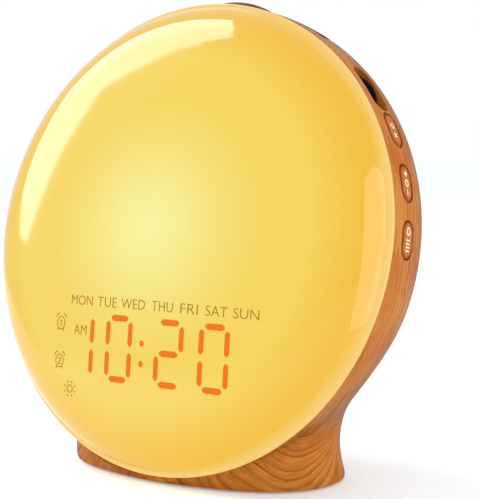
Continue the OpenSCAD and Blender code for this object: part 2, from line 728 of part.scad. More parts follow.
module speaker_lead() color("#B03030") on_face()
    for (s = [-1, 1]) let (y = speaker_lead_y + s, from = gasket_t + speaker_flange_t
            + basket_share * (speaker_deep - magnet_t - speaker_flange_t))
        post(sqrt(pow(speaker_lead_r, 2) - pow(y, 2)), y, wire_r, -speaker_seat + from,
            speaker_seat - from - main_at - board_t);

module snooze_bar() color("#7A3F1E") on_face() {
    pad_at = recess_front + recess_len / 2;
    pad_top = bowl_radius(pad_at) + bar_pad_h;
    crown = 2 * bar_pad_r;
    bowl_band(bar_half_angle, recess_front + bar_gap, recess_front + recess_len - bar_gap, 0, bar_t);
    translate([0, 0, -pad_at]) rotate([-90, 0, 0]) rotate_extrude() polygon(concat(
        [[0, bowl_radius(pad_at) - bar_t + 1], [bar_pad_r, bowl_radius(pad_at) - bar_t + 1]],
        arc(0, pad_top - crown, crown, acos(bar_pad_r / crown), 82, 7),
        [[0, pad_top - crown + crown * sin(82)]]));
    for (s = [-1, 1]) translate([s * bar_plunger_x, 0, -switch_mid()]) rotate([-90, 0, 0])
        translate([0, 0, bar_plunger_end()]) cylinder(r = bar_plunger_r, h = bar_plunger_len(), $fn = 32);
}
// The plungers run from the bar down to the switches, in the direction of travel
function bar_plunger_end() = (switch_out_r + plunger_gap + bar_travel)
    * cos(asin(bar_plunger_x / switch_out_r));
function bar_plunger_len() = sqrt(pow(bowl_radius(switch_mid()) - bar_t + 1, 2) - pow(bar_plunger_x, 2))
    - bar_plunger_end();

module switch_board(from_a, to_a, posts) difference() {
    translate([0, 0, -switch_board_at - board_t]) at_angle(from_a) rotate_extrude(angle = to_a - from_a)
        translate([switch_in_r, 0]) square([switch_out_r - switch_in_r - 2, board_t]);
    for (a = posts) at_angle(a)
        post(switch_in_r + 3, 0, small_screw_r + 0.2, -switch_board_at - 2 * board_t, 3 * board_t);
}
module side_switch(a) at_angle(a) {
    translate([switch_out_r - switch_reach - 3, -switch_body / 2, -switch_board_at])
        cube([switch_reach, switch_body, switch_h]);
    translate([switch_out_r - 3.2, 0, -switch_mid()]) rotate([0, 90, 0])
        cylinder(r = plunger_r, h = 3.2 - plunger_gap, $fn = 24);
}
module switch_screws(posts) for (a = posts) at_angle(a) {
    post(switch_in_r + 3, 0, small_head_r, -switch_board_at - board_t - small_head_h, small_head_h);
    post(switch_in_r + 3, 0, small_screw_r, -switch_board_at - board_t, board_t + 3.5);
}

module top_switch_board() color("#1E5B3A") on_face()
    switch_board(top_board_from, 180 - top_board_from, top_posts);
module top_switches() color("#303030") on_face() for (a = bar_switch_angles) side_switch(a);
module right_switch_board() color("#1E5B3A") on_face()
    switch_board(button_first - 11, usb_angle + 11, switch_posts);
module right_switches() color("#303030") on_face() for (a = button_angles) side_switch(a);
module left_switch_board() color("#1E5B3A") on_face() mirror([1, 0, 0])
    switch_board(button_first - 11, usb_angle + 11, switch_posts);
module left_switches() color("#303030") on_face() mirror([1, 0, 0]) for (a = button_angles) side_switch(a);
module switch_board_screws() color("silver") on_face() {
    for (side = [0, 1]) mirror([side, 0, 0]) switch_screws(switch_posts);
    switch_screws(top_posts);
}

button_top_r = bowl_radius(button_back);
flange_out_r = mouth_r - 1.2;
module side_button(a) color("#C98650") {
    intersection() {
        radial(a, button_back, flange_out_r - button_flange_t,
            button_top_r - flange_out_r + button_flange_t + 3) stadium(button_len, button_w);
        bowl_solid(-button_proud);
    }
    radial(a, button_back, flange_out_r - button_flange_t, button_flange_t)
        stadium(button_len + 2 * button_flange, button_w + button_gap);
    radial(a, switch_mid(), switch_out_r + button_travel + plunger_gap,
        flange_out_r - switch_out_r - button_travel - plunger_gap) circle(stem_r, $fn = 24);
}
module lower_right_button() on_face() side_button(button_angles[0]);
module middle_right_button() on_face() side_button(button_angles[1]);
module upper_right_button() on_face() side_button(button_angles[2]);
module lower_left_button() on_face() mirror([1, 0, 0]) side_button(button_angles[0]);
module middle_left_button() on_face() mirror([1, 0, 0]) side_button(button_angles[1]);
module upper_left_button() on_face() mirror([1, 0, 0]) side_button(button_angles[2]);

module usb_socket() color("silver") on_face()
    radial(usb_angle, usb_mid(), usb_face_r() - usb_depth, usb_depth) difference() {
        square([usb_h + 2 * usb_wall, usb_len + 2 * usb_wall], center = true);
        square([usb_h, usb_len], center = true);
    }
module usb_tongue() color("#EDEDED") on_face() {
    radial(usb_angle, usb_mid(), usb_face_r() - usb_depth, 1.5) square([usb_h, usb_len], center = true);
    radial(usb_angle, usb_mid() - usb_h / 2 + 1.4, usb_face_r() - usb_depth, usb_depth - 5)
        square([1.8, usb_len - 1.4], center = true);
}

module inlet_jack() color("#1A1A1A") translate([0, inlet_seat_y, inlet_z]) difference() {
    union() {
        translate([-inlet_body_w / 2, -inlet_len, -inlet_body_h / 2])
            cube([inlet_body_w, inlet_len, inlet_body_h]);
        rotate([-90, 0, 0]) cylinder(r = inlet_nose_r, h = inlet_nose, $fn = 48);
    }
    translate([0, inlet_nose - inlet_bore, 0]) rotate([-90, 0, 0]) cylinder(r = inlet_r, h = far, $fn = 48);
}
module inlet_pin() color("gold") translate([0, inlet_seat_y + inlet_nose - inlet_bore, inlet_z])
    rotate([-90, 0, 0]) cylinder(r = inlet_pin_r, h = inlet_bore - 1, $fn = 32);

// Round wire through the given points
module wire(path, r) {
    for (k = [0:len(path) - 2]) let (d = path[k + 1] - path[k])
        translate(path[k]) rotate([0, acos(d.z / norm(d)), atan2(d.y, d.x)])
            cylinder(r = r, h = norm(d), $fn = 16);
    for (k = [1:len(path) - 2]) translate(path[k]) sphere(1.25 * r, $fn = 16);
}
// Point given in the face's frame
function face_point(x, y, z) = [x, -face_setback + y * sin(face_tilt) - z * cos(face_tilt),
    face_height + y * cos(face_tilt) + z * sin(face_tilt)];
// Two wires from the back of the inlet up to its connector on the main board
module inlet_lead() color("#B03030") for (s = [-1, 1]) wire([
    [s * 2, inlet_seat_y - inlet_len, inlet_z],
    [s * 2, inlet_seat_y - inlet_len - 3, inlet_z],
    face_point(lead_x + s * 1.5, lead_top - 10, -main_at - board_t - 2),
    face_point(lead_x + s * 1.5, lead_top, -main_at - board_t - 2)], wire_r);

dome();
rim_ring();
housing();
base_plate();
base_screws();
ballast();
rubber_pad();
reflector_tray();
housing_screws();
led_board();
leds();
led_board_screws();
display_board();
display_light_box();
digit_light_guides();
display_film();
display_screws();
main_board();
chips();
capacitors();
board_connectors();
coin_cell_holder();
coin_cell();
main_board_screws();
display_ribbon();
led_ribbon();
speaker_frame();
speaker_cone();
speaker_magnet();
speaker_gasket();
speaker_lead();
snooze_bar();
top_switch_board();
top_switches();
lower_right_button();
middle_right_button();
upper_right_button();
right_switch_board();
right_switches();
usb_socket();
usb_tongue();
lower_left_button();
middle_left_button();
upper_left_button();
left_switch_board();
left_switches();
switch_board_screws();
inlet_jack();
inlet_pin();
inlet_lead();
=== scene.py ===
import json
import math

import bmesh
import bpy
import numpy as np
from bpy.props import FloatProperty, FloatVectorProperty, PointerProperty
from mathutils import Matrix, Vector


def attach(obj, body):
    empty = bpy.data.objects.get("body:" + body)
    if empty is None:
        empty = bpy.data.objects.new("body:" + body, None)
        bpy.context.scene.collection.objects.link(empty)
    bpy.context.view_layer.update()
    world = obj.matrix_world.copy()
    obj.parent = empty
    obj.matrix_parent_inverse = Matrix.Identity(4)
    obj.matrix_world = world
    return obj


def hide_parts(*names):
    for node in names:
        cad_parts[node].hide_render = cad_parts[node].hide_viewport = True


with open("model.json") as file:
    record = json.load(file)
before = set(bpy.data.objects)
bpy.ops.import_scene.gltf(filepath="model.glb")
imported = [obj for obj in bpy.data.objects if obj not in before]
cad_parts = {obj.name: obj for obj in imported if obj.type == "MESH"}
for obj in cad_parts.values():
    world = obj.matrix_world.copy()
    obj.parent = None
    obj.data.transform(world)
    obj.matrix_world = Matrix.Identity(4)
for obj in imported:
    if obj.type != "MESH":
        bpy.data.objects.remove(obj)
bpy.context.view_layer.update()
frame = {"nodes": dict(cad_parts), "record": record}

bl_info = {
    "name": "Sunrise alarm clock",
    "version": (1, 0, 0),
    "blender": (4, 5, 0),
    "location": "View3D > Sidebar > Clock",
    "description": "Looks of a round sunrise alarm clock with a lit dome and a wood-grain housing",
    "category": "Object",
}

MM = 0.001
BODY = "clock"

# The moulded form, in millimetres; lean, aspect and powers have no unit.
BOWL_POWER = 2.7                # how square the bowl's profile is
SWELL_PEAK = 0.385              # the most that w (1 - w w) comes to
TRIM_FROM, TRIM_OVER = 20, 35   # below the face's middle, the neck's trim starts here and is full this much lower
FOOT_POWER = 2.3                # how square the foot's plan is
FOOT_ASPECT = 0.574             # its depth over its width
FOOT_LEAN = 0.166, 0.0016       # how far its middle goes forward with height, and how that grows
FOOT_TOP = 48                   # it ends here, inside the bowl
WAIST_HALF, WAIST_AT = 55.5, 11.4   # half its width where it is narrowest, and the height of that
FLARE_RATE, FLARE_POWER, FLARE_END = 0.031, 1.79, 40    # how it widens upwards
SPREAD = 1.5                    # how much further out its side is on the table than at the waist
HEM, HEM_HIGH = 1.24, 3         # how much its lowest edge is drawn in, and up to where
FORM_BLEND = 4.0                # width of the soft hollow between bowl and foot

# The dome and its ring, in millimetres.
DOME_STEP = 0.2                 # the dome's edge lies this far inside the rim
DOME_WALL = 2.4
SKIRT_GAP, SKIRT_WALL, SKIRT_DEEP = 0.3, 2.2, 3.0   # the skirt below the dome, inside the ring
RING_INSIDE, RING_OUTSIDE, RING_CORNER = 2.55, 0.1, 0.35    # its two walls inside the rim, and its rounded corner

# The outer skin, in millimetres.
SKIN_REACH = 0.35               # a point of a solid this near the moulded form lies on its skin
SKIN_STRAY = 1.2                # an edge whose middle is further off than this goes through the inside
CROWN_WIDE, GROOVE_SHADE_WIDE = 1.1, 1.3      # width of a button's rounded edge and of the painted shade in its groove
GRAIN_PITCH = 2.4               # from one dark line of the grain to the next
GRAIN_UNIT = 50                 # length that the grain's field is fitted in
LOOK_STEP = 1.0                 # step by which the direction that the skin looks in is found
MARK_EDGE, MARK_SINK = 3.0, 0.06        # longest edge of a mark, and how far its back lies in the surface

ACRYLIC_IOR = 1.49

DIGITS_AT = 4.0, -43.7          # middle of the time digits on the face, in millimetres

# The side buttons: degrees above the face's middle, millimetres behind it and from its axis.
BUTTON_FIRST, BUTTON_STEP, BUTTON_BEHIND, BUTTON_OUT = 2.5, 13, 9.6, 87

# The zone of the finger scoop painted black, as painted shade for the dark mouth of the USB socket: its angle on the
# face, its middle, and half its size.
SCOOP_ANGLE, SCOOP_MIDDLE, SCOOP_HALF = 40, (82.6, 2.3, -8.2), (5.6, 9.5, 9.0)


# ---------------------------------------------------------------- sizes and colours

def length(name, text, value):
    return FloatProperty(name=name, description=text, default=value, unit="LENGTH", precision=5)


def hex_linear(code):
    """Linear colour of an sRGB hex code."""
    out = []
    for i in (1, 3, 5):
        v = int(code[i:i + 2], 16) / 255
        out.append(v / 12.92 if v <= 0.04045 else ((v + 0.055) / 1.055) ** 2.4)
    return (*out, 1.0)


def colour(name, text, code):
    return FloatVectorProperty(name=name, description=text, default=hex_linear(code), size=4,
                               subtype="COLOR", min=0.0, max=1.0)


class ClockSizes(bpy.types.PropertyGroup):
    rim_radius: length("Rim radius", "Radius of the round face at its rim", 0.0875)
    rim_lift: length("Rim lift", "Height of the rim's lowest point above the table", 0.0024)
    face_setback: length("Face setback", "Distance forward from the foot's centre to the face's centre", 0.0145)
    face_tilt: FloatProperty(name="Face tilt", description="Backward lean of the face", default=math.radians(12),
                             subtype="ANGLE")
    bowl_depth: length("Bowl depth", "Depth of the bowl behind the face", 0.056)
    bowl_rise: FloatProperty(name="Bowl rise", description="How fast the bowl's circles climb behind the rim",
                             default=0.10)
    bowl_fullness: length("Bowl fullness", "How much the bowl swells between its rim and its back", 0.0006)
    neck_trim: length("Neck trim", "How much the lower bowl is drawn in where it runs into the neck", 0.0014)
    crown_radius: length("Crown radius", "Radius of the dome's flat crown", 0.400)
    shoulder_radius: length("Shoulder radius", "Radius of the dome's rounded shoulder", 0.022)
    dome_rise: length("Dome rise", "Height of the dome's crown above the rim", 0.0218)
    ring_height: length("Ring height", "Height of the pale ring between dome and housing", 0.0016)
    segment_width: length("Segment width", "Width of a segment of a lit digit", 0.0020)
    letter_height: length("Letter height", "Height of the weekday letters", 0.0035)
    button_crown: length("Button crown", "How far a button's edge falls away below its middle", 0.00055)


class ClockColours(bpy.types.PropertyGroup):
    glow_centre: colour("Glow centre", "The dome where the light is strongest", "#F6F09A")
    glow_inner: colour("Glow inner", "The dome a little way out from the centre", "#F3EA8A")
    glow_middle: colour("Glow middle", "The dome half way out", "#F3DD6B")
    glow_outer: colour("Glow outer", "The broad outer part of the dome", "#F3D353")
    glow_shoulder: colour("Glow shoulder", "The deeper gold of the dome's shoulder", "#F0BB22")
    glow_rim: colour("Glow rim", "The pale line where the dome meets its ring", "#F5D580")
    ring: colour("Ring", "The pale ring at the dome's edge", "#FFD272")
    digit: colour("Digit", "Lit segments", "#EC7510")
    legend: colour("Legend", "Printed weekday letters", "#AE761A")
    wood_light: colour("Wood light", "Pale tone of the wood grain", "#CB8236")
    wood_mid: colour("Wood middle", "Main tone of the wood grain", "#B9681E")
    wood_dark: colour("Wood dark", "Lines of the wood grain", "#843C08")
    # painted shade: the groove round a button is coloured darker where its wall lies in shade
    groove_shade: colour("Groove", "Deeper brown in the groove round a button", "#7E2C04")
    # painted shade: black painted on the finger scoop's wood wall for the dark, shaded mouth of the USB socket
    scoop: colour("Scoop", "Black wall of the finger scoop beside the USB socket", "#1C1A1A")
    # painted shade: the snooze bar's top lies in shade, and its three tones are a darker, shaded copy of the wood
    # grain
    bar: colour("Bar", "Dark wood of the snooze bar", "#6E2C14")
    bar_shaded_light: colour("Bar light", "Pale tone of the snooze bar's grain", "#823A1C")
    bar_shaded_dark: colour("Bar dark", "Lines of the snooze bar's grain", "#3A1408")


def sizes():
    return bpy.context.scene.clock_sizes


def colours():
    return bpy.context.scene.clock_colours


# ---------------------------------------------------------------- shapes, in millimetres

def face_axes():
    """The face's directions: to its right, up, and out of it."""
    t = sizes().face_tilt
    return np.array([1.0, 0, 0]), np.array([0, math.sin(t), math.cos(t)]), np.array([0, -math.cos(t), math.sin(t)])


def face_origin():
    """Middle of the face at the height of its rim, in millimetres."""
    s = sizes()
    return np.array([0, -s.face_setback, s.rim_lift + s.rim_radius * math.cos(s.face_tilt)]) / MM


def face_point(x, y, z):
    """World point, in metres, of a point given in the face's frame, in millimetres."""
    ax, ay, az = face_axes()
    return (face_origin() + ax * x + ay * y + az * z) * MM


def gauge_distance(a, b, u, v, power):
    """Signed distance, nearly, of points (u, v) from the curve (u/a)^power + (v/b)^power = 1."""
    u, v = np.abs(u) + 1e-6, np.abs(v) + 1e-6
    h = ((u / a) ** power + (v / b) ** power) ** (1 / power)
    gu = (u / a) ** (power - 1) / a * h ** (1 - power)
    gv = (v / b) ** (power - 1) / b * h ** (1 - power)
    return (h - 1) / np.hypot(gu, gv)


def bowl_field(p, rise=0.0, full=0.0, trim=0.0):
    """Signed distance from the bowl. Its circles climb a little behind the rim and come back at the rear."""
    ax, ay, az = face_axes()
    depth = sizes().bowl_depth / MM
    d = p - face_origin()
    w = np.clip(-(d @ az), 0, None)
    swell = w * np.clip(1 - (w / depth) ** 2, 0, None)
    v = d @ ay - rise * swell
    low = np.clip((-v - TRIM_FROM) / TRIM_OVER, 0, 1)
    rho = np.hypot(d @ ax, v)
    return (gauge_distance(sizes().rim_radius / MM, depth, rho, w, BOWL_POWER)
            + (trim * low * low * (3 - 2 * low) - full) * swell / (SWELL_PEAK * depth))


def foot_half(z):
    """Half the foot's width at height z."""
    return (WAIST_HALF + FLARE_RATE * np.maximum(0, np.minimum(z, FLARE_END) - WAIST_AT) ** FLARE_POWER
            + SPREAD * np.maximum(0, 1 - z / WAIST_AT) ** 2 - HEM * np.maximum(0, 1 - z / HEM_HIGH) ** 2)


def foot_field(p):
    """Signed distance from the foot."""
    z = p[:, 2]
    a = foot_half(z)
    forward = (FOOT_LEAN[0] + FOOT_LEAN[1] * z) * z
    return np.maximum(gauge_distance(a, FOOT_ASPECT * a, p[:, 0], p[:, 1] + forward, FOOT_POWER), z - FOOT_TOP)


def cad_field(p):
    """Signed distance from the form of the solids."""
    return np.minimum(bowl_field(p), foot_field(p))


def true_field(p):
    """The moulded surface: bowl and foot run into each other with a soft hollow."""
    s = sizes()
    a = bowl_field(p, s.bowl_rise, s.bowl_fullness / MM, s.neck_trim / MM)
    b = foot_field(p)
    h = np.maximum(FORM_BLEND - np.abs(a - b), 0) / FORM_BLEND
    return np.minimum(a, b) - h * h * FORM_BLEND / 4


def slope(p, field, step=0.02):
    """The field's slope at points p."""
    return np.stack([(field(p + np.eye(3)[i] * step) - field(p - np.eye(3)[i] * step)) / (2 * step)
                     for i in range(3)], axis=1)


def settle(p, target=0.0, rounds=5, pace=0.9, least=0.05):
    """Moves points on to the moulded surface, or to the target distance from it, along its field's slope. Where the
    slope is nearly nothing, the least value keeps the step short."""
    p = p.copy()
    for _ in range(rounds):
        f = true_field(p) - target
        g = slope(p, true_field)
        n2 = np.maximum((g * g).sum(1), least)
        p -= (f / n2)[:, None] * g * pace
    return p


# Distances across the wood grain, each with points that share it, in millimetres, on the right half of the foot.
FOOT_GRAIN = (
    (-7.5, ((65, -27, 31), (72, -25, 39), (76, -22, 46), (81, -20, 56), (84, -17, 65))),
    (-5.0, ((61, -28, 26), (63, -24, 28), (68, -25, 34), (71, -24, 38))),
    (-4.5, ((78, -19, 49), (82, -17, 59), (85, -14, 69))),
    (-2.5, ((58, -29, 24), (59, -22, 25), (63, -22, 29))),
    (0.0, ((56, -28, 22), (55, -17, 20), (59, -13, 24), (63, -12, 29))),
    (2.2, ((53, -28, 20), (52, -19, 18), (55, -13, 18), (58, -9, 23))),
    (5.8, ((51, -28, 18), (52, -17, 14), (55, -11, 15), (57, -2, 20))),
    (10.5, ((43, -26, 13), (49, -19, 8), (54, -11, 11), (56, -4, 15))),
    (15.5, ((38, -28, 10), (48, -19, 3), (55, -10, 6), (56, -2, 11))),
    (21.0, ((56, 4, 5), (55, 6, 16), (28, -30, 4))),
    (31.0, ((14, -36, 4), (50, 18, 8))),
    (36.0, ((0, -38, 3), (30, 26, 10), (0, 34, 45))),
    (42.0, ((0, 31, 8),)))
# The same for the bowl: distance behind the face, and distance across the grain.
BOWL_GRAIN = ((0, -9.0), (10, 1.0), (25, 13.0), (42, 24.0), (52, 30.0))
BACK_GRAIN = 36.0


def grain_distance(p):
    """Distance across the wood grain: a smooth field fitted through the lines above and their mirror images."""
    ax, ay, az = face_axes()
    known, value = [], []
    for g, shared in FOOT_GRAIN:
        known += shared
        value += [g] * len(shared)
    rim, depth = sizes().rim_radius / MM, sizes().bowl_depth / MM
    for w, g in BOWL_GRAIN:
        r = rim * (1 - (w / depth) ** BOWL_POWER) ** (1 / BOWL_POWER)
        for angle in np.radians((-15, 12, 40, 65, 90)):
            known.append(face_origin() + (ax * math.cos(angle) + ay * math.sin(angle)) * r - az * w)
            value.append(g)
    known.append(face_origin() - az * depth)
    value.append(BACK_GRAIN)
    known, value = np.array(known, float), np.array(value)
    side = known[:, 0] > 1
    known = np.vstack([known, known[side] * (-1, 1, 1)]) / GRAIN_UNIT
    value = np.concatenate([value, value[side]])
    n = len(known)
    plain = np.hstack([np.ones((n, 1)), known])
    cubes = np.linalg.norm(known[:, None] - known[None], axis=2) ** 3
    # a little ease lets the field miss the lines slightly and run smoothly
    ease = 0.002
    system = np.block([[cubes + ease * np.eye(n), plain], [plain.T, np.zeros((4, 4))]])
    weight = np.linalg.solve(system, np.concatenate([value, np.zeros(4)]))
    q = p / GRAIN_UNIT
    out = weight[n] + q @ weight[n + 1:]
    for i in range(n):
        out += weight[i] * np.linalg.norm(q - known[i], axis=1) ** 3
    return out


# ---------------------------------------------------------------- mesh helpers

def new_object(name, bm, material, smooth_angle, body):
    """Object from a bmesh in metres, riding on a body. Edges sharper than the smooth angle stay sharp."""
    bmesh.ops.recalc_face_normals(bm, faces=bm.faces)
    mesh = bpy.data.meshes.new(name)
    bm.to_mesh(mesh)
    bm.free()
    mesh.materials.append(material)
    mesh.shade_smooth()
    mesh.set_sharp_from_angle(angle=math.radians(smooth_angle))
    obj = bpy.data.objects.new(name, mesh)
    bpy.context.scene.collection.objects.link(obj)
    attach(obj, body)
    return obj


def merged_copy(node):
    """bmesh of a CAD node with its loose triangles joined, in metres."""
    bm = bmesh.new()
    bm.from_mesh(frame["nodes"][node].data)
    bmesh.ops.remove_doubles(bm, verts=bm.verts, dist=2e-6)
    return bm


def points(verts):
    """Their places in millimetres."""
    return np.array([v.co for v in verts]) / MM


def refine_skin(bm, skin, edge):
    """Halves the skin's edges until none is longer than edge."""
    for _ in range(6):
        long_edges = [e for e in bm.edges if e.verts[0][skin] and e.verts[1][skin]
                      and e.calc_length() > edge * MM]
        if long_edges:
            mids = np.array([(e.verts[0].co + e.verts[1].co) / 2 for e in long_edges]) / MM
            near = np.abs(cad_field(mids)) < SKIN_STRAY
            long_edges = [e for e, k in zip(long_edges, near) if k]
        if not long_edges:
            break
        made = bmesh.ops.subdivide_edges(bm, edges=long_edges, cuts=1)
        for g in made["geom_inner"]:
            if isinstance(g, bmesh.types.BMVert):
                g[skin] = 1
        bmesh.ops.triangulate(bm, faces=[f for f in bm.faces if len(f.verts) > 3])


def skin_copy(node, name, material, body, edge=3.0, crown=0.0):
    """A CAD node whose outer skin is refined and settled on the moulded surface. With a crown, the skin's edge
    falls away by that much, with painted shade in the groove there. Each point keeps its distance across the grain,
    how much of that painted groove shade it takes, and which way the moulded surface looks there."""
    bm = merged_copy(node)
    skin = bm.verts.layers.int.new("skin")
    across = bm.verts.layers.float.new("grain")
    groove_shade_amount = bm.verts.layers.float.new("edge")
    looks = bm.verts.layers.float_vector.new("outward")
    for v, flag in zip(bm.verts, np.abs(cad_field(points(bm.verts))) < SKIN_REACH):
        v[skin] = int(flag)
    refine_skin(bm, skin, edge)
    moved = [v for v in bm.verts if v[skin]]
    p = points(moved)
    near = dark = np.zeros(len(p))
    if crown:
        rim = points([v for v in moved if any(not e.other_vert(v)[skin] for e in v.link_edges)])
        away = np.array([np.linalg.norm(rim - q, axis=1).min() for q in p])
        near = np.clip(1 - away / CROWN_WIDE, 0, 1)
        # painted shade in the groove round the button's edge, darkest on the side towards the face
        behind = (face_origin() - p) @ face_axes()[2]
        dark = (np.clip(1.3 - away / GROOVE_SHADE_WIDE, 0, 1)
                * np.clip(0.5 - (behind - behind.mean()) / 3, 0.1, 1))
    for v, q, k in zip(moved, settle(p, -crown * near ** 2), dark):
        v.co = Vector(q * MM)
        v[groove_shade_amount] = k
    pts = points(bm.verts)
    for v, g, n in zip(bm.verts, grain_distance(pts), slope(pts, true_field, LOOK_STEP)):
        v[across] = g
        v[looks] = Vector(n).normalized()
    obj = new_object(name, bm, material, 32, body)
    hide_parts(node)


def spin_profile(profile, steps=192):
    """Closed ring from a closed profile of (radius, height) in the face's frame, in millimetres."""
    bm = bmesh.new()
    verts = [bm.verts.new(Vector(face_point(max(r, 0), 0, z))) for r, z in profile]
    edges = [bm.edges.new((verts[i], verts[(i + 1) % len(verts)])) for i in range(len(verts))]
    bmesh.ops.spin(bm, geom=verts + edges, cent=Vector(face_origin() * MM), axis=Vector(face_axes()[2]),
                   angle=2 * math.pi, steps=steps, use_merge=True)
    bmesh.ops.remove_doubles(bm, verts=bm.verts, dist=1e-7)
    return bm


def dome_circles(inset):
    """The circles of the dome's crown and shoulder in its profile, made smaller by the inset: the crown's radius
    and the height of its middle, then the shoulder's radius and its middle's distance from the axis and height."""
    s = sizes()
    crown, shoulder = s.crown_radius / MM, s.shoulder_radius / MM
    out = s.rim_radius / MM - DOME_STEP - shoulder
    low = s.dome_rise / MM - crown
    return crown - inset, low, shoulder - inset, out, low + math.sqrt((crown - shoulder) ** 2 - out ** 2)


def dome_height(r, inset=0.0):
    """Height of the dome above the rim at radius r."""
    crown, low, shoulder, out, up = dome_circles(inset)
    if r <= crown * out / (crown - shoulder):
        return low + math.sqrt(crown ** 2 - r ** 2)
    return up + math.sqrt(max(shoulder ** 2 - (max(r, out) - out) ** 2, 0))


def dome_profile(inset, bottom):
    """Profile of the dome from its ledge to the axis."""
    _, low, shoulder, out, up = dome_circles(inset)
    start = math.asin((bottom - up) / shoulder)
    end = math.atan2(up - low, out)
    profile = [(out + shoulder * math.cos(a), up + shoulder * math.sin(a)) for a in np.linspace(start, end, 30)]
    return profile + [(r, dome_height(r, inset)) for r in np.linspace(profile[-1][0], 0, 26)[1:]]


def marks(name, polygons, material, place, thickness=0.08, body=BODY, flat=None):
    """Thin raised marks: outlines in millimetres, and a flat bmesh if there is one, laid where place puts them."""
    bm = flat or bmesh.new()
    for outline in polygons:
        bm.faces.new([bm.verts.new((x, y, 0)) for x, y in outline])
    bmesh.ops.triangulate(bm, faces=bm.faces)
    long_edges = [e for e in bm.edges if e.calc_length() > MARK_EDGE]
    bmesh.ops.subdivide_edges(bm, edges=long_edges, cuts=1)
    bmesh.ops.triangulate(bm, faces=bm.faces)
    base = list(bm.verts)
    made = bmesh.ops.extrude_face_region(bm, geom=list(bm.faces))
    top = [g for g in made["geom"] if isinstance(g, bmesh.types.BMVert)]
    for v in top:
        v.co = Vector(place(v.co.x, v.co.y, thickness))
    for v in base:
        v.co = Vector(place(v.co.x, v.co.y, -MARK_SINK))
    new_object(name, bm, material, 40, body)


# ---------------------------------------------------------------- materials

def add(tree, kind, inputs=(), **settings):
    """Adds a node, sets its settings and its inputs by name or index; a socket is linked."""
    node = tree.nodes.new(kind)
    for key, value in settings.items():
        setattr(node, key, value)
    for key, value in dict(inputs).items():
        if isinstance(value, bpy.types.NodeSocket):
            tree.links.new(value, node.inputs[key])
        else:
            node.inputs[key].default_value = value
    return node


def start_material(name):
    """A material with one Principled shader, its node tree and that shader."""
    mat = bpy.data.materials.new(name)
    mat.use_nodes = True
    tree = mat.node_tree
    tree.nodes.clear()
    shader = add(tree, "ShaderNodeBsdfPrincipled")
    out = add(tree, "ShaderNodeOutputMaterial")
    tree.links.new(shader.outputs[0], out.inputs[0])
    return mat, tree, shader


def moulded_texture(tree, shader, scale, depth, roughness, spread):
    """Fine surface texture: a little bump and an uneven gloss. Gives its noise."""
    coord = add(tree, "ShaderNodeTexCoord")
    noise = add(tree, "ShaderNodeTexNoise", {"Vector": coord.outputs["Object"], "Scale": scale, "Detail": 3.0})
    bump = add(tree, "ShaderNodeBump", {"Height": noise.outputs[0], "Strength": 0.25, "Distance": depth})
    rough = add(tree, "ShaderNodeMapRange", {"Value": noise.outputs[0], "To Min": roughness - spread,
                                             "To Max": roughness + spread})
    tree.links.new(bump.outputs[0], shader.inputs["Normal"])
    tree.links.new(rough.outputs[0], shader.inputs["Roughness"])
    return noise


def plastic(name, code, roughness=0.45, scale=900.0, depth=0.00004, metallic=0.0, vary=0.06):
    """Injection-moulded, painted or plated part with a fine surface grain."""
    mat, tree, shader = start_material(name)
    noise = moulded_texture(tree, shader, scale, depth, roughness, vary)
    base = hex_linear(code)
    shade = add(tree, "ShaderNodeMix", {0: noise.outputs[0], 6: tuple(c * (1 - vary) for c in base[:3]) + (1,),
                                        7: tuple(min(c * (1 + vary), 1) for c in base[:3]) + (1,)},
                data_type="RGBA")
    tree.links.new(shade.outputs[2], shader.inputs["Base Color"])
    shader.inputs["Metallic"].default_value = metallic
    return mat


def seen_directly(tree):
    """1 for the rays by which the camera sees a thing, also in a mirror or through glass, and 0 for the rest."""
    path = add(tree, "ShaderNodeLightPath")
    both = add(tree, "ShaderNodeMath", {0: path.outputs["Is Camera Ray"], 1: path.outputs["Is Glossy Ray"]},
               operation="MAXIMUM")
    return add(tree, "ShaderNodeMath", {0: both.outputs[0], 1: path.outputs["Is Transmission Ray"]},
               operation="MAXIMUM").outputs[0]


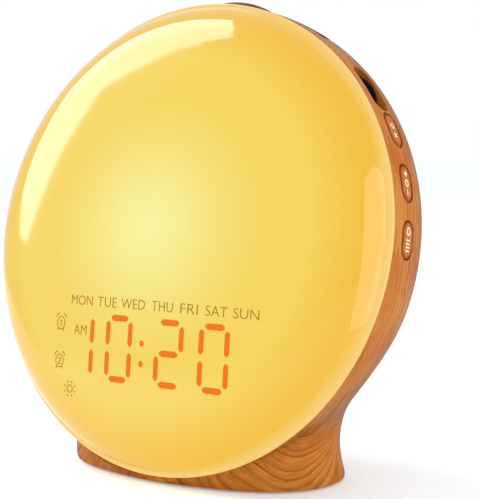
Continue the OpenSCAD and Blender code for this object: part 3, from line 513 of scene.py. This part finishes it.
def wood(name, light, mid, dark, socket=False):
    """Wood-grain film printed in oak brown and laid on moulded plastic under a satin lacquer. The lines follow each
    piece's grain attribute: long lines beside the rim and up the neck, nested arcs on the foot. It gives the eye
    dark late-wood lines some 2.4 mm apart, finer fibres between them and painted shade in a button's groove.
    The colour is darkened where the surface is seen at a slant, near its outline: painted shade.
    With a socket, the wall of the finger scoop beside the USB socket is painted black: painted shade for the
    socket's dark mouth."""
    mat, tree, shader = start_material(name)
    coord = add(tree, "ShaderNodeTexCoord").outputs["Object"]
    grain = add(tree, "ShaderNodeAttribute", attribute_name="grain").outputs["Fac"]
    # the lines sway by 1.5 mm or so over some 30 mm, and shake by some 0.2 mm over 5 mm
    bent = grain
    for scale, width in ((32.0, 4.0), (210.0, 0.7)):
        noise = add(tree, "ShaderNodeTexNoise", {"Vector": coord, "Scale": scale, "Detail": 1.0})
        bent = add(tree, "ShaderNodeMath", {0: noise.outputs[0], 1: width, 2: bent},
                   operation="MULTIPLY_ADD").outputs[0]
    rings = add(tree, "ShaderNodeMath", {0: bent, 1: GRAIN_PITCH}, operation="DIVIDE")
    wave = add(tree, "ShaderNodeMath", {0: rings.outputs[0]}, operation="FRACT")
    line = add(tree, "ShaderNodeValToRGB", {"Fac": wave.outputs[0]})
    stops = line.color_ramp.elements
    stops[0].color = stops[1].color = (0.10, 0.10, 0.10, 1)
    for place, value in ((0.15, 0.0), (0.50, 0.12), (0.72, 0.45), (0.84, 1.0), (0.92, 0.7)):
        stops.new(place).color = (value, value, value, 1)
    # some lines are much fainter than others
    count = add(tree, "ShaderNodeMath", {0: rings.outputs[0]}, operation="FLOOR")
    tint = add(tree, "ShaderNodeTexWhiteNoise", {"W": count.outputs[0]}, noise_dimensions="1D")
    worth = add(tree, "ShaderNodeMapRange", {"Value": tint.outputs["Value"], "To Min": 0.25, "To Max": 1.0})
    drawn = add(tree, "ShaderNodeMath", {0: line.outputs[0], 1: worth.outputs[0]}, operation="MULTIPLY")
    # fibres some 0.5 mm across and 8 mm long
    over = add(tree, "ShaderNodeCombineXYZ", {"X": bent})
    slow = add(tree, "ShaderNodeVectorMath", {0: coord, 1: (65.0, 65.0, 65.0), 2: over.outputs[0]},
               operation="MULTIPLY_ADD")
    fibres = add(tree, "ShaderNodeTexNoise", {"Vector": slow.outputs[0], "Scale": 2.0, "Detail": 3.0,
                                              "Roughness": 0.65})
    fine = add(tree, "ShaderNodeMapRange", {"Value": fibres.outputs[0], "From Min": 0.42, "From Max": 0.75,
                                            "To Min": 0.0, "To Max": 0.6})
    broad = add(tree, "ShaderNodeTexNoise", {"Vector": coord, "Scale": 55.0, "Detail": 3.0})
    spread = add(tree, "ShaderNodeMapRange", {"Value": broad.outputs[0], "From Min": 0.35, "From Max": 0.65})
    soft = add(tree, "ShaderNodeMix", {0: spread.outputs[0], 6: mid, 7: light}, data_type="RGBA")
    deep = add(tree, "ShaderNodeMath", {0: drawn.outputs[0], 1: 0.7}, operation="MULTIPLY")
    both = add(tree, "ShaderNodeMath", {0: deep.outputs[0], 1: fine.outputs[0]}, operation="ADD", use_clamp=True)
    tone = add(tree, "ShaderNodeMix", {0: both.outputs[0], 6: soft.outputs[2], 7: dark}, data_type="RGBA")
    # painted shade in a button's groove, read from the skin's edge attribute
    groove_shade_amount = add(tree, "ShaderNodeAttribute", attribute_name="edge")
    tone = add(tree, "ShaderNodeMix", {0: groove_shade_amount.outputs["Fac"], 6: tone.outputs[2], 7: tuple(colours().groove_shade)},
               data_type="RGBA")
    # painted shade near the outline: the colour is darkened where the moulded surface is seen at a slant
    outward = add(tree, "ShaderNodeAttribute", attribute_name="outward").outputs["Vector"]
    slant = add(tree, "ShaderNodeLayerWeight", {"Blend": 0.5, "Normal": outward})
    deeper = add(tree, "ShaderNodeMapRange", {"Value": slant.outputs["Facing"], "From Min": 0.68, "From Max": 0.95,
                                              "To Min": 1.0, "To Max": 0.42})
    tone = add(tree, "ShaderNodeMix", {0: 1.0, 6: tone.outputs[2], 7: deeper.outputs[0]}, data_type="RGBA",
               blend_type="MULTIPLY")
    if socket:
        # an oval zone round the mouth of the socket, some 11 by 19 mm across, painted black as painted shade for the
        # dark mouth
        ax, ay, az = face_axes()
        turn = math.radians(SCOOP_ANGLE)
        ways = ax * math.cos(turn) + ay * math.sin(turn), ay * math.cos(turn) - ax * math.sin(turn), az
        centre = face_origin() * MM + sum(way * size for way, size in zip(ways, SCOOP_MIDDLE)) * MM
        off = add(tree, "ShaderNodeVectorMath", {0: coord, 1: Vector(centre)}, operation="SUBTRACT")
        dots = [add(tree, "ShaderNodeVectorMath", {0: off.outputs[0], 1: Vector(way / (size * MM))},
                    operation="DOT_PRODUCT").outputs["Value"] for way, size in zip(ways, SCOOP_HALF)]
        oval = add(tree, "ShaderNodeCombineXYZ", {"X": dots[0], "Y": dots[1], "Z": dots[2]})
        reach = add(tree, "ShaderNodeVectorMath", {0: oval.outputs[0]}, operation="LENGTH")
        inside = add(tree, "ShaderNodeMapRange", {"Value": reach.outputs["Value"], "From Min": 1.0, "From Max": 0.9})
        tone = add(tree, "ShaderNodeMix", {0: inside.outputs[0], 6: tone.outputs[2], 7: tuple(colours().scoop)},
                   data_type="RGBA")
    tree.links.new(tone.outputs[2], shader.inputs["Base Color"])
    bump = add(tree, "ShaderNodeBump", {"Height": both.outputs[0], "Strength": 0.10, "Distance": 0.00006})
    bump.invert = True
    tree.links.new(bump.outputs[0], shader.inputs["Normal"])
    rough = add(tree, "ShaderNodeMapRange", {"Value": both.outputs[0], "To Min": 0.38, "To Max": 0.50})
    tree.links.new(rough.outputs[0], shader.inputs["Roughness"])
    shader.inputs["Specular IOR Level"].default_value = 0.06
    return mat


def glow(name):
    """Opal acrylic moulded with a glossy outer face and lit from behind: brightest in the middle, a deeper gold
    on the shoulder, where the wall turns away from the lamp, and paler at the very edge, where it is thick."""
    c = colours()
    mat, tree, shader = start_material(name)
    coord = add(tree, "ShaderNodeTexCoord")
    off = add(tree, "ShaderNodeVectorMath", {0: coord.outputs["Object"], 1: Vector(face_point(0, 0, 0))},
              operation="SUBTRACT")
    around = add(tree, "ShaderNodeVectorMath", {0: off.outputs[0], 1: tuple(face_axes()[2])},
                 operation="CROSS_PRODUCT")
    radius = add(tree, "ShaderNodeVectorMath", {0: around.outputs[0]}, operation="LENGTH")
    # the lamps behind leave the light very slightly uneven, in patches some 40 mm across: the colours reach up to
    # half of this, in metres, too far in or out
    stray = 0.003
    patch = add(tree, "ShaderNodeTexNoise", {"Vector": coord.outputs["Object"], "Scale": 25.0, "Detail": 1.0})
    uneven = add(tree, "ShaderNodeMath", {0: patch.outputs[0], 1: stray, 2: radius.outputs["Value"]},
                 operation="MULTIPLY_ADD")
    ramp = add(tree, "ShaderNodeMapRange", {"Value": uneven.outputs[0], "From Min": stray / 2,
                                            "From Max": sizes().rim_radius + stray / 2})
    tone = add(tree, "ShaderNodeValToRGB", {"Fac": ramp.outputs[0]})
    stops = tone.color_ramp.elements
    stops[0].color, stops[1].color = tuple(c.glow_centre), tuple(c.glow_rim)
    for place, value in ((0.17, c.glow_inner), (0.345, c.glow_middle), (0.52, c.glow_outer), (0.72, c.glow_outer),
                         (0.93, c.glow_shoulder), (0.965, c.glow_shoulder)):
        stops.new(place).color = tuple(value)
    tree.links.new(tone.outputs[0], shader.inputs["Emission Color"])
    shader.inputs["Emission Strength"].default_value = 1.0
    shader.inputs["Base Color"].default_value = (0.02, 0.012, 0.004, 1)
    shader.inputs["Specular IOR Level"].default_value = 0.0
    shader.inputs["Roughness"].default_value = 0.5
    shader.inputs["Coat Weight"].default_value = 1.0
    shader.inputs["Coat Roughness"].default_value = 0.07
    shader.inputs["Coat IOR"].default_value = ACRYLIC_IOR
    return mat


def lit(name, col, strength, roughness, base=0.1, level=0.1, coat=0.0):
    """Translucent plastic, moulded or printed, lit from behind, with a slightly uneven glow."""
    mat, tree, shader = start_material(name)
    coord = add(tree, "ShaderNodeTexCoord")
    noise = add(tree, "ShaderNodeTexNoise", {"Vector": coord.outputs["Object"], "Scale": 500.0, "Detail": 2.0})
    power = add(tree, "ShaderNodeMapRange", {"Value": noise.outputs[0], "To Min": strength * 0.94,
                                             "To Max": strength * 1.06})
    tree.links.new(power.outputs[0], shader.inputs["Emission Strength"])
    shader.inputs["Emission Color"].default_value = tuple(col)
    shader.inputs["Base Color"].default_value = tuple(x * base for x in col[:3]) + (1,)
    shader.inputs["Roughness"].default_value = roughness
    shader.inputs["Specular IOR Level"].default_value = level
    shader.inputs["Coat Weight"].default_value = coat
    shader.inputs["Coat Roughness"].default_value = 0.1
    shader.inputs["Coat IOR"].default_value = ACRYLIC_IOR
    return mat


# ---------------------------------------------------------------- operators

class CLOCK_OT_housing(bpy.types.Operator):
    """Moulded wood-grain housing, snooze bar and side buttons"""
    bl_idname = "clock.housing"
    bl_label = "Housing"

    def execute(self, context):
        c = colours()
        body = wood("wood_grain_film", tuple(c.wood_light), tuple(c.wood_mid), tuple(c.wood_dark), socket=True)
        # painted shade: the snooze bar gets a darker, shaded copy of the wood grain, for its top lies in shade
        dark = wood("shaded_wood_grain_film", tuple(c.bar_shaded_light), tuple(c.bar), tuple(c.bar_shaded_dark))
        skin_copy("housing", "housing_skin", body, BODY)
        skin_copy("snooze_bar", "snooze_bar_skin", dark, "snooze_bar", 2.0)
        for level in ("lower", "middle", "upper"):
            for side in ("left", "right"):
                node = level + "_" + side + "_button"
                skin_copy(node, node + "_skin", body, node, 0.7, sizes().button_crown / MM)
        return {"FINISHED"}


class CLOCK_OT_dome(bpy.types.Operator):
    """Lit dome and the pale ring round it"""
    bl_idname = "clock.dome"
    bl_label = "Dome"

    def execute(self, context):
        rim, ring_h = sizes().rim_radius / MM, sizes().ring_height / MM
        skirt = rim - DOME_WALL - SKIRT_GAP
        profile = dome_profile(0.0, ring_h) + dome_profile(DOME_WALL, ring_h)[::-1]
        profile += [(skirt - SKIRT_WALL, ring_h), (skirt - SKIRT_WALL, -SKIRT_DEEP), (skirt, -SKIRT_DEEP),
                    (skirt, ring_h)]
        dome = new_object("dome_shell", spin_profile(profile), glow("opal_acrylic_lit"), 40, BODY)
        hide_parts("dome")
        out, up = rim - RING_OUTSIDE - RING_CORNER, ring_h - RING_CORNER
        profile = [(rim - RING_INSIDE, 0.0), (rim - RING_OUTSIDE, 0.0)]
        profile += [(out + RING_CORNER * math.cos(a), up + RING_CORNER * math.sin(a))
                    for a in np.linspace(0, math.pi / 2, 6)]
        profile += [(rim - RING_INSIDE, ring_h)]
        ring = new_object("rim_ring_skin", spin_profile(profile),
                          lit("opal_ring_lit", colours().ring, 0.9, 0.4, 0.05, 0.0, 1.0), 40, BODY)
        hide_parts("rim_ring")
        return {"FINISHED"}


def bar(x, y, long, wide, upright):
    """Outline of a lit segment with blunt pointed ends."""
    h, w = long / 2, wide / 2
    neck, tip = h - w * 0.95, w * 0.3
    pts = [(-h, -tip), (-neck, -w), (neck, -w), (h, -tip), (h, tip), (neck, w), (-neck, w), (-h, tip)]
    return [(x - q, y + p) if upright else (x + p, y + q) for p, q in pts]


def arc(x, y, radius, wide, start, end, tall=1.0, steps=14):
    """Outlines of the short pieces of a bent stroke between two angles in degrees."""
    a = np.radians(np.linspace(start, end, steps))
    far, near = ([(x + (radius + h) * math.cos(t), y + (radius * tall + h) * math.sin(t)) for t in a]
                 for h in (wide / 2, -wide / 2))
    return [[far[i], far[i + 1], near[i + 1], near[i]] for i in range(steps - 1)]


def stroke(x0, y0, x1, y1, wide):
    """Outline of a straight stroke."""
    along = math.hypot(x1 - x0, y1 - y0)
    dx, dy = (y0 - y1) / along * wide / 2, (x1 - x0) / along * wide / 2
    return [(x0 + dx, y0 + dy), (x0 - dx, y0 - dy), (x1 - dx, y1 - dy), (x1 + dx, y1 + dy)]


def alarm_outlines(x, y, wide, two):
    """Small alarm clock: round body, two bells, two feet and its number."""
    out = arc(x, y, 1.95, wide, 0, 360, 1.2, 25)
    out += arc(x - 1.5, y + 2.35, 0.95, wide, 60, 200) + arc(x + 1.5, y + 2.35, 0.95, wide, -20, 120)
    out += [stroke(x - 1.3, y - 2.0, x - 1.8, y - 2.9, wide), stroke(x + 1.3, y - 2.0, x + 1.8, y - 2.9, wide)]
    if two:
        out += arc(x, y + 0.5, 0.6, wide, -30, 170)
        out += [stroke(x + 0.52, y + 0.2, x - 0.6, y - 1.0, wide), stroke(x - 0.7, y - 1.1, x + 0.75, y - 1.1, wide)]
    else:
        out += [stroke(x + 0.1, y - 1.2, x + 0.1, y + 1.1, wide), stroke(x - 0.55, y + 0.6, x + 0.1, y + 1.05, wide)]
    return out


def sun_outlines(x, y, wide):
    """Small sun: a ring and eight short rays."""
    out = arc(x, y, 1.35, wide, 0, 360, steps=21)
    for k in range(8):
        t = math.radians(45 * k + 22.5)
        out.append(stroke(x + 2.35 * math.cos(t), y + 2.35 * math.sin(t),
                          x + 2.95 * math.cos(t), y + 2.95 * math.sin(t), 0.5))
    return out


def words(flat, text, left, right, base, height):
    """Adds a word in thin upright letters, fitted between left and right, to a flat bmesh in millimetres."""
    curve = bpy.data.curves.new("word", "FONT")
    curve.body = text
    curve.offset = -0.012
    curve.resolution_u = 3
    obj = bpy.data.objects.new("word", curve)
    mesh = bpy.data.meshes.new_from_object(obj)
    part = bmesh.new()
    part.from_mesh(mesh)
    xs, ys = [v.co.x for v in part.verts], [v.co.y for v in part.verts]
    for v in part.verts:
        v.co = (left + (v.co.x - min(xs)) / (max(xs) - min(xs)) * (right - left),
                base + (v.co.y - min(ys)) / (max(ys) - min(ys)) * height, 0)
    part.to_mesh(mesh)
    part.free()
    flat.from_mesh(mesh)
    bpy.data.meshes.remove(mesh)
    bpy.data.objects.remove(obj)
    bpy.data.curves.remove(curve)


def on_dome(x, y, up):
    """Point of the display, laid on the dome; the display is turned a little about its middle."""
    a = math.radians(0.2)
    dx, dy = x - DIGITS_AT[0], y - DIGITS_AT[1]
    x, y = (DIGITS_AT[0] + dx * math.cos(a) - dy * math.sin(a),
            DIGITS_AT[1] + dx * math.sin(a) + dy * math.cos(a))
    return face_point(x, y, dome_height(math.hypot(x, y)) + up)


class CLOCK_OT_display(bpy.types.Operator):
    """Lit time digits, weekday row, AM mark, alarm marks and sun on the dome"""
    bl_idname = "clock.display"
    bl_label = "Display"

    def execute(self, context):
        s, c = sizes(), colours()
        wide = s.segment_width / MM
        half, top, mid, low = 5.15, -32.8, DIGITS_AT[1], -54.5
        upper, lower = (top + mid) / 2, (mid + low) / 2
        shapes = {"0": "abcdef", "1": "bc", "2": "abged"}
        outlines = []
        for centre, digit in ((-26.1, "1"), (-8.0, "0"), (14.4, "2"), (32.9, "0")):
            where = {"a": (centre, top, False), "g": (centre, mid, False), "d": (centre, low, False),
                     "f": (centre - half, upper, True), "b": (centre + half, upper, True),
                     "e": (centre - half, lower, True), "c": (centre + half, lower, True)}
            for part in shapes[digit]:
                x, y, upright = where[part]
                outlines.append(bar(x, y, 8.5, wide, True) if upright else bar(x, y, 7.8, wide * 1.12, False))
        # the colon
        for y in (-40.9, -48.1):
            outlines.append([(2.6 + 0.95 * math.cos(a), y + 1.1 * math.sin(a))
                             for a in np.linspace(0, 2 * math.pi, 13)[:-1]])
        marks("time_digits", outlines, lit("orange_segment_lit", c.digit, 1.0, 0.5, 0.05), on_dome)
        flat = bmesh.new()
        high = s.letter_height / MM
        for text, left, right in (("MON", -32.4, -21.8), ("TUE", -19.2, -10.1), ("WED", -7.8, 2.9),
                                  ("THU", 6.0, 15.1), ("FRI", 18.3, 25.5), ("SAT", 28.7, 37.3),
                                  ("SUN", 39.7, 49.5)):
            words(flat, text, left, right, -29.2, high)
        words(flat, "AM", -30.1, -23.8, -39.9, high)
        thin = 0.34
        outlines = alarm_outlines(-37.2, -36.3, thin, False) + alarm_outlines(-37.0, -50.2, thin, True)
        outlines += sun_outlines(-31.1, -59.9, thin)
        marks("display_legends", outlines, lit("printed_legend", c.legend, 0.9, 0.4), on_dome,
              flat=flat)
        return {"FINISHED"}


class CLOCK_OT_button_marks(bpy.types.Operator):
    """Small white marks printed on the side buttons"""
    bl_idname = "clock.button_marks"
    bl_label = "Button marks"

    def execute(self, context):
        paint = plastic("white_pad_print", "#FBEFE2", 0.5)
        ax, ay, az = face_axes()
        thin = 0.42
        drawn = {
            "upper": arc(1.6, 0, 1.0, thin, 40, 320) + [stroke(-3.0, -0.9, -1.4, 0.9, thin),
                                                        stroke(-1.4, -0.9, -3.0, 0.9, thin)],
            "middle": [stroke(-4.4, 0, -2.2, 0, thin), stroke(2.2, 0, 4.4, 0, thin),
                       stroke(3.3, -1.1, 3.3, 1.1, thin)] + arc(0, 0, 1.1, thin, 0, 360, steps=17),
            "lower": [stroke(x, -1.3, x, 1.3, thin) for x in (-3.6, -2.4, -1.2, 0.0)]
            + arc(3.0, 0, 1.2, thin, 0, 360, steps=17)}
        for k, level in enumerate(("lower", "middle", "upper")):
            for side, name in ((1, "right"), (-1, "left")):
                turn = math.radians(BUTTON_FIRST + BUTTON_STEP * k)

                def place(x, y, up):
                    a = turn + x / BUTTON_OUT
                    p = (face_origin() + (ax * math.cos(a) * side + ay * math.sin(a)) * BUTTON_OUT
                         - az * (BUTTON_BEHIND - y))
                    return settle(p[None], up)[0] * MM
                body = level + "_" + name + "_button"
                marks(level + "_" + name + "_mark", drawn[level], paint, place, 0.03, body)
        return {"FINISHED"}


class CLOCK_OT_inside(bpy.types.Operator):
    """Materials of the parts inside, underneath and in the sockets"""
    bl_idname = "clock.inside"
    bl_label = "Inner parts"

    def execute(self, context):
        # name, colour and roughness; then the scale and depth of the texture and how much of a metal it is
        table = {
            "steel": plastic("zinc_plated_steel", "#9C9EA2", 0.32, 1500.0, 0.00002, 1.0),
            "painted_steel": plastic("black_painted_steel", "#242426", 0.4),
            "rubber": plastic("silicone_rubber", "#242220", 0.75, 1200.0, 0.00008),
            "dark_plastic": plastic("textured_abs_dark", "#4A4038", 0.55, 1400.0, 0.00008),
            "black_plastic": plastic("nylon_black", "#181818", 0.42),
            "white_plastic": plastic("polycarbonate_white", "#F1EFE9", 0.4),
            "white_board": plastic("white_solder_mask", "#F2F2EE", 0.35),
            "green_board": plastic("green_solder_mask", "#1E5B3A", 0.3),
            "led": plastic("led_phosphor", "#FFF0B8", 0.25),
            "orange_digit": plastic("tinted_light_guide", "#F57A1F", 0.2),
            "film": plastic("printed_diffuser_film", "#DDB65E", 0.35),
            "capacitor": plastic("capacitor_sleeve", "#4B5068", 0.3),
            "connector": plastic("nylon_natural", "#E8E4D8", 0.45),
            "cell": plastic("nickel_plated_cell", "#B8B9BC", 0.22, 1500.0, 0.00001, 1.0),
            "ribbon": plastic("ribbon_cable_pvc", "#D2D2D2", 0.5),
            "wire": plastic("wire_insulation_pvc", "#A52824", 0.4),
            "cone": plastic("coated_paper_cone", "#171717", 0.7, 700.0, 0.0001),
            "magnet": plastic("ferrite_magnet", "#54545A", 0.5, 600.0, 0.00005),
            "foam": plastic("pu_foam", "#333333", 0.85, 900.0, 0.0002),
            "socket_shell": plastic("nickel_plated_shell", "#C8C9CC", 0.22, 1500.0, 0.00001, 1.0),
            "pin_metal": plastic("nickel_plated_pin", "#CFCCC4", 0.2, 1500.0, 0.00001, 1.0),
        }
        slots = {e["node"]: e["material_slot"] for e in frame["record"]["subparts"]}
        for node, obj in frame["nodes"].items():
            if slots.get(node) in table:
                for slot in obj.material_slots:
                    slot.material = table[slots[node]]
        return {"FINISHED"}


def stage_object(name, bm, material):
    """Object of the stage from a bmesh in metres."""
    mesh = bpy.data.meshes.new(name)
    bm.to_mesh(mesh)
    bm.free()
    mesh.materials.append(material)
    obj = bpy.data.objects.new(name, mesh)
    bpy.context.scene.collection.objects.link(obj)
    return obj


def panel(name, corners, strength, shine_only=False):
    """Soft light panel of any outline, from its corners in metres. The camera doesn't see it."""
    bm = bmesh.new()
    bm.faces.new([bm.verts.new(c) for c in corners])
    mat = bpy.data.materials.new(name)
    mat.use_nodes = True
    mat.node_tree.nodes.clear()
    light = add(mat.node_tree, "ShaderNodeEmission", {"Strength": strength})
    out = add(mat.node_tree, "ShaderNodeOutputMaterial")
    mat.node_tree.links.new(light.outputs[0], out.inputs[0])
    obj = stage_object(name, bm, mat)
    obj.visible_camera = obj.visible_shadow = False
    obj.visible_diffuse = not shine_only


class CLOCK_OT_stage(bpy.types.Operator):
    """Floor, light and camera"""
    bl_idname = "clock.stage"
    bl_label = "Stage"

    def execute(self, context):
        scene = context.scene
        bm = bmesh.new()
        bmesh.ops.create_grid(bm, x_segments=1, y_segments=1, size=6.0)
        # matt white board
        mat, tree, shader = start_material("white_floor")
        shader.inputs["Base Color"].default_value = (0.75, 0.81, 0.845, 1)
        shader.inputs["Roughness"].default_value = 0.7
        shader.inputs["Specular IOR Level"].default_value = 0.1
        lift = add(tree, "ShaderNodeMath", {0: seen_directly(tree), 1: 0.25}, operation="MULTIPLY")
        tree.links.new(lift.outputs[0], shader.inputs["Emission Strength"])
        shader.inputs["Emission Color"].default_value = (1, 1, 1, 1)
        stage_object("floor", bm, mat)

        world = bpy.data.worlds.new("studio")
        scene.world = world
        world.use_nodes = True
        tree = world.node_tree
        tree.nodes.clear()
        soft = add(tree, "ShaderNodeBackground", {"Color": (1, 1, 1, 1), "Strength": 0.92})
        seen = add(tree, "ShaderNodeBackground", {"Color": (1, 1, 1, 1), "Strength": 1.0})
        mix = add(tree, "ShaderNodeMixShader", {0: seen_directly(tree), 1: soft.outputs[0], 2: seen.outputs[0]})
        out = add(tree, "ShaderNodeOutputWorld")
        tree.links.new(mix.outputs[0], out.inputs[0])

        # the large panel on the upper left gives the pale band along the dome's shoulder
        panel("left_panel", [
            (-1.056, -0.554, 0.253), (-0.939, -0.517, 0.464), (-0.837, -0.506, 0.635), (-0.700, -0.607, 0.794),
            (-0.640, -0.656, 0.863), (-0.604, -0.616, 0.944), (-0.552, -0.544, 1.070), (-0.498, -0.446, 1.215),
            (-0.506, -0.126, 1.392), (-0.601, 0.276, 1.475), (-0.682, 0.203, 1.302), (-0.757, 0.174, 1.164),
            (-0.929, 0.112, 0.851), (-1.026, -0.036, 0.607), (-1.021, -0.252, 0.488), (-1.036, -0.437, 0.355),
            (-1.063, -0.514, 0.266)], 7.0)
        # the one on the right and its image on the table give the fainter strip beside the rim
        panel("right_panel", [
            (0.9, -0.304, 0.694), (0.9, -0.407, 0.491), (0.9, -0.430, 0.309), (0.9, -0.430, 0.229),
            (0.9, -0.400, 0.101), (0.9, -0.388, 0.002), (0.9, 0.176, 0.002), (0.9, 0.178, 0.100),
            (0.9, 0.235, 0.179), (0.9, 0.295, 0.402), (0.9, 0.383, 0.585), (0.9, 0.168, 0.694)], 3.1)
        panel("right_table_glare", [
            (0.900, -0.388, 0.002), (0.532, -0.219, 0.002), (0.289, -0.111, 0.002), (0.193, -0.058, 0.002),
            (0.201, -0.026, 0.002), (0.212, 0.008, 0.002), (0.245, 0.015, 0.002), (0.408, 0.056, 0.002),
            (0.900, 0.176, 0.002)], 3.1, True)

        # the camera stands to the clock's right and looks a little down
        a, e = math.radians(34.99), math.radians(4.64)
        forward = Vector((-math.sin(a) * math.cos(e), math.cos(a) * math.cos(e), -math.sin(e)))
        data = bpy.data.cameras.new("camera")
        data.sensor_fit, data.sensor_width, data.lens = "HORIZONTAL", 36.0, 105.0
        cam = bpy.data.objects.new("camera", data)
        cam.location = (0.310931, -0.422422, 0.124876)
        cam.rotation_euler = forward.to_track_quat("-Z", "Y").to_euler()
        scene.collection.objects.link(cam)
        scene.camera = cam
        scene.view_settings.view_transform = "Standard"
        return {"FINISHED"}


class CLOCK_PT_panel(bpy.types.Panel):
    bl_label = "Sunrise alarm clock"
    bl_idname = "CLOCK_PT_panel"
    bl_space_type = "VIEW_3D"
    bl_region_type = "UI"
    bl_category = "Clock"

    def draw(self, context):
        for kind in OPERATORS:
            self.layout.operator(kind.bl_idname)


OPERATORS = (CLOCK_OT_housing, CLOCK_OT_dome, CLOCK_OT_display, CLOCK_OT_button_marks, CLOCK_OT_inside,
             CLOCK_OT_stage)
CLASSES = (ClockSizes, ClockColours, *OPERATORS, CLOCK_PT_panel)


def register():
    for kind in CLASSES:
        bpy.utils.register_class(kind)
    bpy.types.Scene.clock_sizes = PointerProperty(type=ClockSizes)
    bpy.types.Scene.clock_colours = PointerProperty(type=ClockColours)


def unregister():
    del bpy.types.Scene.clock_colours
    del bpy.types.Scene.clock_sizes
    for kind in reversed(CLASSES):
        bpy.utils.unregister_class(kind)


def main():
    register()
    bpy.ops.clock.inside()
    bpy.ops.clock.housing()
    bpy.ops.clock.dome()
    bpy.ops.clock.display()
    bpy.ops.clock.button_marks()
    bpy.ops.clock.stage()


if __name__ == "__main__":
    main()
